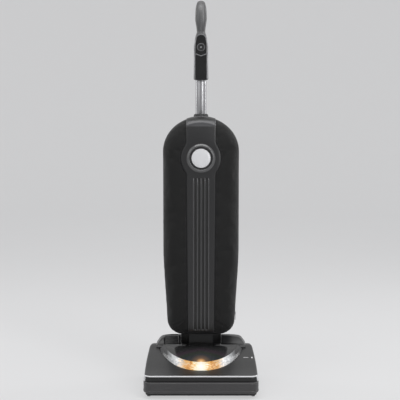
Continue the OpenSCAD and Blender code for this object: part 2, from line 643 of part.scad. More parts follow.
module front_roller(s) in_frame() difference() {
    translate([s * roller_x, roller_d, roller_r]) rotate([0, 90, 0]) rotate_extrude() polygon([
        [0, -roller_w / 2], [roller_r - 1.5, -roller_w / 2], [roller_r, -roller_w / 2 + 1.5],
        [roller_r, roller_w / 2 - 1.5], [roller_r - 1.5, roller_w / 2], [0, roller_w / 2]]);
    rod(roller_pin_r + run, s * roller_x - 10, s * roller_x + 10, roller_d, roller_r);
}
module front_roller_left() color([0.15, 0.15, 0.15]) front_roller(-1);
module front_roller_right() color([0.15, 0.15, 0.15]) front_roller(1);

module roller_axles() color("silver") in_frame() both_sides()
    rod(roller_pin_r, roller_x - roller_w / 2 - 2.2, roller_x + roller_w / 2 + 2, roller_d, roller_r);

// Ridged foot pedal on the left block; it tips about a pin at its back
module release_pedal() color([0.22, 0.22, 0.23]) in_frame() difference() {
    w = pedal_out - pedal_in;
    x = -(pedal_out + pedal_in) / 2;
    union() {
        across(w, x) polygon([[pivot_d - 27, pivot_h + 26], [pivot_d - 28, pivot_h + 31],
            [pivot_d - 4, block_top - 5], [pivot_d + 14, block_top - 6], [pedal_pin_d + 5, pedal_pin_h],
            [pedal_pin_d, pedal_pin_h - 5], [pedal_pin_d - 5, pedal_pin_h], [pivot_d - 3, block_top - 12]]);
        for (i = [0:4]) across(w - 3, x) translate([mix(pivot_d - 25, pivot_d - 5, i / 4),
            mix(pivot_h + 33, block_top - 6, i / 4)]) circle(r = 1.6);
    }
    rod(pedal_pin_r + run, -pedal_out - 1, -pedal_in + 1, pedal_pin_d, pedal_pin_h);
}

module pedal_pin() color("silver") in_frame()
    rod(pedal_pin_r, -pedal_out - 3.2, -post_x, pedal_pin_d, pedal_pin_h);

// Coil spring under the pedal, a ring of its wire for each 30 degrees of turn
spring_turns = 4;
function spring_z(a) = mix(spring_low + 0.1 + wire_r, spring_high - wire_r, a / 360 / spring_turns);
function wire_ring(a) = [for (b = [315:-45:0]) let (r = spring_r + wire_r * cos(b))
    [r * cos(a), r * sin(a), spring_z(a) + wire_r * sin(b)]];
module pedal_spring() color("silver") in_frame()
    translate([-(pedal_out + pedal_in) / 2, spring_d, 0])
        loft([for (a = [0:30:spring_turns * 360]) wire_ring(a)]);

module pivot_bushes() color([0.5, 0.5, 0.52]) in_frame() both_sides() difference() {
    rod(bush_r, well_hw - 14, post_x + post_t, pivot_d, pivot_h);
    rod(bush_r - 3, well_hw - 15, post_x + post_t + 1, pivot_d, pivot_h);
}

// ---- Upright outlines ----

// Outline of the bag housing from the front, inset by s
function house_line(s) = let (r = max(foot_r - s, 6), foot = house_foot_w / 2 - s, hw = house_w / 2 - s,
    right = concat(arc([foot - r, house_low + s + r], r, -90, 0, 6), [[hw, taper_z]],
        [for (i = [0:9]) [hw * cos(i * 9), arch_z + (arch_h - s) * sin(i * 9)]]))
    concat(right, [[0, house_top - s]], flip(right));

// Rings of the front, from the parting line to the flat of its face; g is how far out it is grown
function front_rings(g, rim) = let (r = front_edge_r + g) concat([[-g, rim], [-g, front_bend_d]],
    [for (a = [15:15:90]) [-g + r * (1 - cos(a)), front_bend_d - r * sin(a)]],
    [[front_edge_r + 16, front_bend_d - r - 4.5], [front_edge_r + 32, front_bend_d - r - 6.5]]);
function rear_rings(g, rim) = let (r = rear_edge_r + g) concat([[-g, rim], [-g, rear_bend_d]],
    [for (a = [15:15:90]) [-g + r * (1 - cos(a)), rear_bend_d + r * sin(a)]],
    [[rear_edge_r + 15, rear_bend_d + r + 3], [rear_edge_r + 30, rear_bend_d + r + 4]]);
function turned(list) = [for (i = [len(list) - 1:-1:0]) list[i]];
function slice_to(list, to) = [for (i = [0:to - 1]) list[i]];
function slice(list, from) = [for (i = [from:len(list) - 1]) list[i]];
function ring_points(list) = [for (l = list) at_depth(house_line(l[0]), l[1])];

module front_solid(g, rim) loft(ring_points(front_rings(g, rim)));

// ---- Upright pieces ----

module neck_duct() color([0.14, 0.14, 0.15]) in_frame() difference() {
    union() {
        rod(barrel_r, -well_hw + 1.7, well_hw - 1.7, pivot_d, pivot_h);
        across(72) polygon([[pivot_d - barrel_r + 2, pivot_h], [pivot_d - barrel_r + 4, house_low - 2],
            [pivot_d + barrel_r + 2, house_low - 2], [pivot_d + barrel_r - 2, pivot_h]]);
        box(-48, 48, pivot_d - 27, pivot_d + 33, house_low - 3.5, house_low - seat);
    }
    rod(bush_r + run, -well_hw, well_hw, pivot_d, pivot_h);
    across(26) polygon([[pivot_d - 15, pivot_h], [pivot_d + 17, pivot_h],
        [fill_d + fill_r - fill_wall, house_low + 1], [fill_d - fill_r + fill_wall, house_low + 1]]);
}

module bottom_pan() color([0.15, 0.15, 0.16]) in_frame() difference() {
    intersection() {
        loft(ring_points(concat(turned(rear_rings(0, part_d)), slice(front_rings(0, part_d), 1))));
        box(-house_w, house_w, 0, base_d, house_low - 1, pan_top);
    }
    box(-house_foot_w / 2 + foot_r, house_foot_w / 2 - foot_r, front_bend_d, rear_bend_d,
        house_low + 3, pan_top + 1);
    translate([0, fill_d, house_low - 1]) cylinder(r = fill_r - fill_wall, h = 20);
    translate([0, fill_d, pan_top - 5]) cylinder(r = fill_r + seat, h = 20);
}

module rear_shell() color([0.13, 0.13, 0.14]) in_frame() difference() {
    moulded_wall([for (r = ring_points(rear_rings(0, part_d + zip_hw + seat))) turned(r)],
        [for (r = ring_points(rear_rings(-house_wall, part_d + zip_hw + seat))) turned(r)],
        ring = true, capped = true);
    box(-house_w, house_w, 0, base_d + 50, 0, pan_top + 0.2);
    translate([0, tube_d, house_top - 60]) cylinder(r = socket_r + seat, h = 100);
    for (z = socket_screw_zs) stud(2.3, tube_d, base_d, 0, z);
    for (z = hook_screw_zs) stud(2.3, tube_d, base_d, 0, z);
}
socket_screw_zs = [socket_foot + 18, socket_foot + 42];
hook_screw_zs = [low_hook_z - 8, low_hook_z + 12];
shell_back = rear_bend_d + rear_edge_r + 4;

module zip_chain() color([0.05, 0.05, 0.05]) in_frame() difference() {
    facing(part_d - zip_hw, part_d + zip_hw) difference() {
        polygon(house_line(-1.2));
        polygon(house_line(2.4));
    }
    box(-house_w, house_w, 0, base_d, 0, pan_top + 4);
}

// The slider rides outside the chain, on the right side just over the foot corner
zip_lean = atan((house_w - house_foot_w) / 2 / (taper_z - house_low - foot_r));
module on_zip() translate([house_foot_w / 2 + 1.6, part_d, house_low + foot_r + 6])
    rotate([0, zip_lean, 0]) children();

module zip_slider() color([0.2, 0.2, 0.2]) in_frame() on_zip() difference() {
    union() {
        translate([0, -3.5, 0]) cube([2.2, 7, 11]);
        translate([2.2, -1.6, 3]) cube([1.6, 3.2, 6]);
    }
    translate([2.5, -5, 6]) rotate([-90, 0, 0]) cylinder(r = 0.8, h = 10);
}

module zip_pull() color([0.2, 0.2, 0.2]) in_frame() on_zip() difference() {
    translate([4.1, -2.6, -16]) cube([1.2, 5.2, 22]);
    translate([3, 0, -12]) rotate([0, 90, 0]) cylinder(r = 1.4, h = 4);
}

module front_cover() color([0.13, 0.13, 0.14]) in_frame() difference() {
    moulded_wall(ring_points(front_rings(0, part_d - zip_hw - seat)),
        ring_points(front_rings(-house_wall, part_d - zip_hw - seat)), ring = true, capped = true);
    box(-house_w, house_w, 0, base_d + 50, 0, pan_top + seat);
}

// Outline of the strip and its round plate, from the front
module strip_outline(g = 0) {
    polygon([[-strip_foot_w / 2 - g, pan_top + 2], [strip_foot_w / 2 + g, pan_top + 2],
        [strip_top_w / 2 + g, house_top + 20], [-strip_top_w / 2 - g, house_top + 20]]);
    translate([0, plate_z]) circle(r = plate_r + g, $fn = 64);
}

// The ribs and grooves follow the strip's face, also where it leans back below
rib_r = rib_pitch * 0.29;
rib_sunk = 0.6;
rib_low = house_low + 21;
rib_high = plate_z - plate_r - 2;
groove_hw = rib_pitch * 0.22;
groove_deep = 2;
strip_rings = slice(front_rings(strip_t, part_d), 1);
function strip_face(z) = lookup(z - house_low, strip_rings);
rib_zs = [for (l = strip_rings) if (house_low + l[0] > rib_low + 1) house_low + l[0]];

// Level ring of a rib, r round
function rib_ring(z, r) = [for (b = [0:30:330]) [r * cos(b), strip_face(z) + rib_sunk + r * sin(b), z]];
module rib() loft([for (a = [-80, -55, -30, 0]) rib_ring(rib_low + rib_r * sin(a), rib_r * cos(a)),
    for (z = rib_zs) rib_ring(z, rib_r),
    for (a = [0, 30, 55, 80]) rib_ring(rib_high + rib_r * sin(a), rib_r * cos(a))]);

// Groove beside a rib, with round ends
module groove(x) {
    floor_line = [for (z = concat([rib_low], rib_zs, [rib_high])) [strip_face(z) + groove_deep, z]];
    across(2 * groove_hw, x) polygon(concat(floor_line,
        [for (p = turned(floor_line)) [p[0] - groove_deep - 3, p[1]]]));
    for (z = [rib_low, rib_high])
        stud(groove_hw, strip_face(z) - 3, strip_face(z) + groove_deep, x, z);
}

module spine_strip() color([0.25, 0.25, 0.26]) in_frame() {
    difference() {
        intersection() {
            front_solid(strip_t, part_d);
            facing(face_d - 5, front_bend_d - 1) strip_outline();
        }
        front_solid(0.05, part_d + 5);
        for (i = [-1.5:1.5]) groove(i * rib_pitch);
        stud(medallion_r + 7, face_d - 20, face_d + 3, 0, plate_z);
    }
    for (i = [-2:2]) translate([i * rib_pitch, 0, 0]) rib();
}

module boss_ring() color([0.3, 0.3, 0.31]) in_frame() turned_facing(face_d, plate_z)
    polygon([[medallion_r + 5.3, 2.8], [medallion_r + 5.3, -1], [medallion_r + 7, -3.6],
        [medallion_r + 10, -3.2], [medallion_r + 14, -0.1], [medallion_r + 6.8, -0.1],
        [medallion_r + 6.8, 2.8]]);

module medallion() color([0.85, 0.85, 0.86]) in_frame() turned_facing(face_d, plate_z)
    polygon([[0, 2.9], [medallion_r + 5, 2.9], [medallion_r + 5, 1.4], [medallion_r, 1.4],
        [medallion_r, -0.6], [medallion_r - 0.8, -1.2], [medallion_r - 8, -2], [0, -2.4]]);

module fill_tube() color([0.3, 0.3, 0.31]) in_frame() difference() {
    union() {
        translate([0, fill_d, pan_top - 4.7]) cylinder(r = fill_r, h = spout_z - fill_bend_r - pan_top + 4.7);
        fill_bend(fill_r);
        stud(fill_r, spout_end, fill_d - fill_bend_r, 0, spout_z);
    }
    translate([0, fill_d, pan_top - 10])
        cylinder(r = fill_r - fill_wall, h = spout_z - fill_bend_r - pan_top + 10);
    fill_bend(fill_r - fill_wall);
    stud(fill_r - fill_wall, spout_end - 1, fill_d - fill_bend_r, 0, spout_z);
}
// Quarter bend from the riser into the spout
module fill_bend(r) translate([0, fill_d - fill_bend_r, spout_z - fill_bend_r]) rotate([90, 0, 90])
    rotate_extrude(angle = 90) translate([fill_bend_r, 0]) circle(r = r);

module bag_seal() color([0.1, 0.1, 0.1]) in_frame() turned_facing(bag_back, spout_z)
    polygon([[fill_r + 0.05, 2.6], [fill_r + 4, 2.6], [fill_r + 4, 5], [fill_r + 0.05, 5]]);

module bag_collar() color([0.72, 0.6, 0.42]) in_frame() difference() {
    box(-45, 45, bag_back + seat, bag_back + 2.4, spout_z - 40, spout_z + 38);
    stud(fill_r + 0.4, bag_back - 1, bag_back + 4, 0, spout_z);
}

// Pillow of the bag: rounded rings that draw in at its foot and head
function bag_ring(z, t) = let (hw = 72 - t, hd = (bag_back - bag_front) / 2 - t,
    mid = (bag_back + bag_front) / 2) [for (p = squircle(4, 32)) [p[0] * hw, mid + p[1] * hd, z]];
module filter_bag() color([0.86, 0.84, 0.78]) in_frame() difference() {
    loft([for (e = [[0, 14], [3, 6], [9, 2], [20, 0]]) bag_ring(pan_top + 24 + e[0], e[1]),
        for (e = [[-20, 0], [-9, 2], [-3, 6], [0, 14]]) bag_ring(socket_foot - 5 + e[0], e[1])]);
    stud(fill_r + 1.5, spout_end - 3, bag_back + 1, 0, spout_z);
}

module tube_socket() color([0.16, 0.16, 0.17]) in_frame() difference() {
    union() {
        translate([0, tube_d, socket_foot]) rotate_extrude() polygon([[0, 0], [socket_r - 2, 0],
            [socket_r, 2], [socket_r, 112], [socket_r - 1.2, 116], [socket_r - 4, 118], [0, 118]]);
        box(-8, 8, tube_d + socket_r - 4, shell_back - house_wall - seat, socket_foot + 8, socket_foot + 52);
    }
    translate([0, tube_d, socket_foot + 5]) cylinder(r = tube_r + run, h = 200);
    for (z = socket_screw_zs) stud(1.6, tube_d + tube_r + 1, base_d, 0, z);
}

module handle_tube() color([0.72, 0.72, 0.73]) in_frame()
    translate([0, tube_d, socket_foot + 5]) difference() {
        cylinder(r = tube_r, h = grip_foot + 90 - socket_foot - 5);
        translate([0, 0, -1]) cylinder(r = tube_r - tube_wall, h = grip_foot + 100 - socket_foot);
    }

// Screws of the tube socket and of the lower cord hook
module housing_screws() color("silver") in_frame() {
    for (z = socket_screw_zs) screw(z, shell_back, 8);
    for (z = hook_screw_zs) screw(z, shell_back + 3, 8);
}
module screw(z, d, l) {
    stud(4, d + 0.1, d + 2.1, 0, z);
    stud(1.5, d - l, d + 0.2, 0, z);
}

// ---- Grip ----

// Half widths, half depths and middles of the grip's body by height over its foot
function body_hw(h) = lookup(h, [[0, 22], [41, 21.3], [76, 20.6], [101, 20], [117, 18.6], [127, 16.6],
    [134, 14.6], [141, 12.5]]);
function body_hd(h) = lookup(h, [[0, 24], [76, 25], [101, 27], [121, 31], [134, 37], [141, 36]]);
function body_mid(h) = tube_d + lookup(h, [[0, 0], [101, 0], [134, 5], [141, 6]]);
function squircle(n, k) = [for (i = [0:k - 1]) let (a = i * 360 / k, c = cos(a), s = sin(a))
    [sign(c) * pow(abs(c), 2 / n), sign(s) * pow(abs(s), 2 / n)]];

module grip_body() loft([for (h = [0, 3, 41, 76, 101, 113, 121, 127, 134, 141])
    let (e = h == 0 ? 1.5 : 0, hw = body_hw(h) - e, hd = body_hd(h) - e)
        [for (p = squircle(3.2, 28)) [p[0] * hw, body_mid(h) + p[1] * hd, grip_foot + h]]]);

// The hand loop: a closed tube round a rounded D, fattest at the front leg
loop_mid = tube_d + 6;
loop_z = grip_top - 55;
function loop_line(a) = [loop_mid - loop_d / 2 * sign(cos(a)) * pow(abs(cos(a)), 0.75),
    loop_z + 43 * sign(sin(a)) * pow(abs(sin(a)), 0.75)];
function loop_hw(a) = lookup(a, [[0, 17.4], [35, 16], [70, 13.4], [100, 13], [160, 12], [240, 12],
    [300, 12.6], [325, 13.4], [360, 17.4]]);
function loop_ht(a) = lookup(a, [[0, 14], [40, 13], [90, 12], [150, 10.5], [240, 10.5], [325, 12],
    [360, 14]]);
module hand_loop() {
    k = 32;
    n = 16;
    pts = [for (i = [0:k - 1]) let (a = i * 360 / k, p = loop_line(a), q = loop_line(a + 4),
        o = loop_line(a - 4), t = (q - o) / norm(q - o)) each [for (j = [0:n - 1]) let (b = j * 360 / n)
        [loop_hw(a) * cos(b), p[0] + loop_ht(a) * sin(b) * t[1], p[1] - loop_ht(a) * sin(b) * t[0]]]];
    polyhedron(pts, [for (i = [0:k - 1], j = [0:n - 1]) let (m = (i + 1) % k, l = (j + 1) % n)
        each [[i * n + j, m * n + l, i * n + l], [i * n + j, m * n + j, m * n + l]]]);
}

// Front opening of the switch panel, with a chevron foot and an arched top
function panel_line(g) = let (w = 15.6 + g, half = concat([[0, panel_foot - 4 - g], [w, panel_foot + 2 - g]],
    [[w, panel_top - 27]], arc([0, panel_top - 15], 13 + g, 20, 90, 5))) half;
module panel_shape(g) polygon(concat(panel_line(g), [for (p = flip(panel_line(g))) if (abs(p[0]) > 0.01) p]));
module inset_shape(g) polygon([[-16.4 - g, grip_foot - 10], [16.4 + g, grip_foot - 10],
    [16.4 + g, panel_foot - 1.5 + g], [0, panel_foot - 7.5 + g], [-16.4 - g, panel_foot - 1.5 + g]]);
panel_d = tube_d - 24.6;

module grip_whole() difference() {
    union() {
        grip_body();
        hand_loop();
    }
    translate([0, tube_d, grip_foot - 1]) cylinder(r = tube_r + 0.15, h = 91.3);
    facing(tube_d - 60, panel_d + 1.9) inset_shape(0.2);
    facing(tube_d - 60, panel_d + 2) panel_shape(0.2);
    stud(9.4, tube_d - 60, tube_d - 12, 0, switch_z);
    stud(4.05, tube_d + tube_r + 1, tube_d + 60, 0, hook_z);
    stud(8.1, tube_d + tube_r + 0.6, tube_d + 60, 0, switch_z - 18);
    for (z = [18, 40, 62]) both_sides()
        box(20, 30, tube_d - 4, tube_d + 14, grip_foot + z, grip_foot + z + 1.2);
}

module grip_left() color([0.24, 0.24, 0.25]) in_frame() intersection() {
    grip_whole();
    box(-60, -0.05, 0, base_d + 60, grip_foot - 5, grip_top + 5);
}
module grip_right() color([0.24, 0.24, 0.25]) in_frame() intersection() {
    grip_whole();
    box(0.05, 60, 0, base_d + 60, grip_foot - 5, grip_top + 5);
}

module grip_inset() color([0.14, 0.14, 0.14]) in_frame() intersection() {
    facing(panel_d - 0.6, panel_d + 1.7) inset_shape(0);
    box(-40, 40, 0, base_d, grip_foot, grip_top);
}

module switch_panel() color([0.05, 0.05, 0.05]) in_frame() difference() {
    facing(panel_d - 1.4, panel_d + 1.8) panel_shape(0);
    stud(9.4, 0, base_d, 0, switch_z);
}

module switch_bezel() color([0.5, 0.5, 0.5]) in_frame() turned_facing(panel_d - 1.4, switch_z)
    polygon([[9.4, -0.05], [9.4, -2.2], [10.4, -2.8], [11.6, -2.2], [12, -0.05]]);

module switch_rocker() color([0.3, 0.3, 0.3]) in_frame()
    translate([0, panel_d + 2, switch_z]) rotate([-6, 0, 0]) turned_facing(0, 0)
        polygon([[0, 21 - tube_r], [5, 21 - tube_r], [8.3, 2], [8.6, -3], [8, -4.6], [5, -4.2],
            [0, -3.9]]);

// Hook that swivels on the back of the grip, upright at rest
module upper_cord_hook() color([0.14, 0.14, 0.15]) in_frame() {
    back = tube_d + 24.7;
    across(12) polygon([[back + seat, hook_z - 7], [back + 18, hook_z - 7], [back + 21, hook_z - 4],
        [back + 22, hook_z + 28], [back + 17, hook_z + 28], [back + 15, hook_z + 8], [back + 12, hook_z + 5],
        [back + seat, hook_z + 5]]);
    stud(4, tube_d + tube_r + 1.4, back + 3, 0, hook_z);
}

module lower_cord_hook() color([0.14, 0.14, 0.15]) in_frame() difference() {
    union() {
        box(-10, 10, shell_back + 0.1, shell_back + 2.9, low_hook_z - 14, low_hook_z + 18);
        across(12) polygon([[shell_back + 2, low_hook_z + 2], [shell_back + 14, low_hook_z + 1],
            [shell_back + 15, low_hook_z - 28], [shell_back + 19, low_hook_z - 28],
            [shell_back + 18.5, low_hook_z + 4], [shell_back + 16, low_hook_z + 7],
            [shell_back + 2, low_hook_z + 8]]);
    }
    for (z = hook_screw_zs) stud(1.7, shell_back - 5, shell_back + 5, 0, z);
    for (z = hook_screw_zs) stud(4.3, shell_back + 2.9, base_d + 40, 0, z);
}

module cord_gland() color([0.08, 0.08, 0.08]) in_frame() difference() {
    turned_facing(tube_d + 17, switch_z - 18)
        polygon([[0, tube_r - 16], [8, tube_r - 16], [8, 8.6], [10, 9.3], [10, 11], [7, 13], [6, 24],
            [0, 24]]);
    stud(4, tube_d + 29, base_d + 20, 0, switch_z - 18);
}

chassis();
nose_rail();
sole_plate();
sole_screws();
bumper();
trim_strip();
hood();
motor_cover();
lens();
lamp_bulb();
lamp_holder();
reflector();
brush_core();
brush_bristles();
brush_bearings();
drive_belt();
motor_case();
motor_shaft();
fan_wheel();
fan_case();
intake_duct();
rear_hub_left();
rear_hub_right();
rear_tyre_left();
rear_tyre_right();
wheel_axles();
front_roller_left();
front_roller_right();
roller_axles();
release_pedal();
pedal_pin();
pedal_spring();
pivot_bushes();
neck_duct();
bottom_pan();
rear_shell();
zip_chain();
zip_slider();
zip_pull();
front_cover();
spine_strip();
boss_ring();
medallion();
fill_tube();
bag_seal();
bag_collar();
filter_bag();
tube_socket();
handle_tube();
housing_screws();
grip_left();
grip_right();
grip_inset();
switch_panel();
switch_bezel();
switch_rocker();
upper_cord_hook();
lower_cord_hook();
cord_gland();
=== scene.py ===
"""Looks of a lightweight upright vacuum cleaner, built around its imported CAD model.

Lengths in this file are millimetres in the builder's own terms: x across, d back from the
face of the bumper and z up from the floor. spot() turns them into the frame's metres.
"""

import json
import logging
import random
from collections.abc import Callable, Iterable, Mapping, Sequence
from dataclasses import dataclass, field
from enum import Enum
from math import acos, atan, atan2, copysign, cos, degrees, dist, exp, hypot, pi, radians, sin, sqrt, tan, tanh
from typing import Self

import bmesh
import bpy
from bpy.types import Material, Mesh, Node, NodeSocket, NodeTree, Object
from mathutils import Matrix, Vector
from mathutils.bvhtree import BVHTree


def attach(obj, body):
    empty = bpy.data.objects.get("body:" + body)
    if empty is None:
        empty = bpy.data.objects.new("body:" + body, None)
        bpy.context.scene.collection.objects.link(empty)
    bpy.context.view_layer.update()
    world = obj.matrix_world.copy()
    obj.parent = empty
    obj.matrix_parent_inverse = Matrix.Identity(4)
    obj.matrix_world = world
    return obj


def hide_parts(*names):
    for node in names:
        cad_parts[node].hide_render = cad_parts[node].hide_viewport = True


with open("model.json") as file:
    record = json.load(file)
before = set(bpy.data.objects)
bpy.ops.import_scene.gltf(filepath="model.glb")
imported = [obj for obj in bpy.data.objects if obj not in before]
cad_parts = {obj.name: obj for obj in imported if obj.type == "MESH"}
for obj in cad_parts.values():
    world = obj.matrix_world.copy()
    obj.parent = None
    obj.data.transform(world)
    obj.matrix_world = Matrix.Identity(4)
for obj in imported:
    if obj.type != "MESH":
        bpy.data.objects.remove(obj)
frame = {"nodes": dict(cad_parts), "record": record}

LOG = logging.getLogger("upright")
MM = 0.001
BASE_DEPTH = 290.0
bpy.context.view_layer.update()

Point = tuple[float, float, float]
Pair = tuple[float, float]
Row = list[Point]
Colour = tuple[float, float, float, float]
Sockets = Mapping[str | int, NodeSocket]
Stops = Sequence[tuple[float, Point]]


def spot(x: float, d: float, z: float) -> Vector:
    """A place in the frame, in metres, from width, depth and height in millimetres."""
    return Vector((x * MM, (d - BASE_DEPTH / 2) * MM, z * MM))


def sized(place: Vector) -> Point:
    """Width, depth and height in millimetres of a place in the frame."""
    return place.x / MM, place.y / MM + BASE_DEPTH / 2, place.z / MM


def mix(a: float, b: float, t: float) -> float:
    """The value a share t of the way from a to b."""
    return a + (b - a) * t


def mix_pair(a: Pair, b: Pair, t: float) -> Pair:
    """The point a share t of the way from a to b."""
    return mix(a[0], b[0], t), mix(a[1], b[1], t)


def steps(a: float, b: float, count: int) -> list[float]:
    """Evenly spaced values from a to b, both included."""
    return [mix(a, b, i / count) for i in range(count + 1)]


def turns(count: int) -> list[float]:
    """Evenly spaced angles round a circle, in radians."""
    return steps(0.0, 2 * pi, count)[:-1]


def ease(t: float) -> float:
    """A smooth step from 0 to 1."""
    t = min(1.0, max(0.0, t))
    return t * t * (3 - 2 * t)


def signed_power(value: float, power: float) -> float:
    """The power of a value's size, with the value's sign."""
    return copysign(abs(value) ** power, value)


def heading(a: Pair, b: Pair) -> Pair:
    """The unit direction from one point to another."""
    size = dist(a, b)
    return (b[0] - a[0]) / size, (b[1] - a[1]) / size


def headings(line: Sequence[Pair]) -> list[Pair]:
    """The direction of a line at each of its points."""
    return [heading(line[max(i - 1, 0)], line[min(i + 1, len(line) - 1)]) for i in range(len(line))]


def both_sides(line: Sequence[Pair]) -> list[Pair]:
    """A line that ends in the middle, carried on by its mirror image."""
    return [*line, *((-x, v) for x, v in line[-2::-1])]


class Profile:
    """A smooth curve through (x, y) points that doesn't overshoot them."""

    def __init__(self, points: Sequence[Pair]) -> None:
        """Finds the slope at each point.

        Args:
            points: the points, with x rising.
        """
        self.points = list(points)
        secants = [(b[1] - a[1]) / (b[0] - a[0]) for a, b in zip(points, points[1:])]
        inner = [0.0 if p * q <= 0 else 2 * p * q / (p + q) for p, q in zip(secants, secants[1:])]
        self.slopes = [secants[0], *inner, secants[-1]]

    def __call__(self, x: float) -> float:
        """The curve's height at x, straight on past its ends.

        Args:
            x: the place.

        Returns:
            The height there.
        """
        pts = self.points
        if x <= pts[0][0]:
            return pts[0][1] + (x - pts[0][0]) * self.slopes[0]
        if x >= pts[-1][0]:
            return pts[-1][1] + (x - pts[-1][0]) * self.slopes[-1]
        i = next(k for k in range(len(pts) - 1) if x <= pts[k + 1][0])
        (x0, y0), (x1, y1) = pts[i], pts[i + 1]
        h = x1 - x0
        t = (x - x0) / h
        rise = (2 * t**3 - 3 * t**2 + 1) * y0 + (3 * t**2 - 2 * t**3) * y1
        return rise + (t**3 - 2 * t**2 + t) * h * self.slopes[i] + (t**3 - t**2) * h * self.slopes[i + 1]


def curve(*points: Pair) -> Profile:
    """A profile as the field of a dataclass."""
    return field(default_factory=lambda: Profile(points))


def round_corners(points: Sequence[Pair], times: int = 2) -> list[Pair]:
    """Cuts the corners of an open line, and keeps its ends.

    Args:
        points: the line's points.
        times: how often the corners are cut.

    Returns:
        The rounded line.
    """
    line = list(points)
    for _ in range(times):
        cut = [line[0]]
        for a, b in zip(line, line[1:]):
            cut += [mix_pair(a, b, 0.25), mix_pair(a, b, 0.75)]
        line = [*cut, line[-1]]
    return line


class Axis(Enum):
    """The line that a turned piece is turned about."""

    WIDTH = "width"
    DEPTH = "depth"
    HEIGHT = "height"

    def place(self, along: float, p: float, q: float) -> Point:
        """Width, depth and height of a point along the axis and off it."""
        return {Axis.WIDTH: (along, p, q), Axis.DEPTH: (p, along, q), Axis.HEIGHT: (p, q, along)}[self]


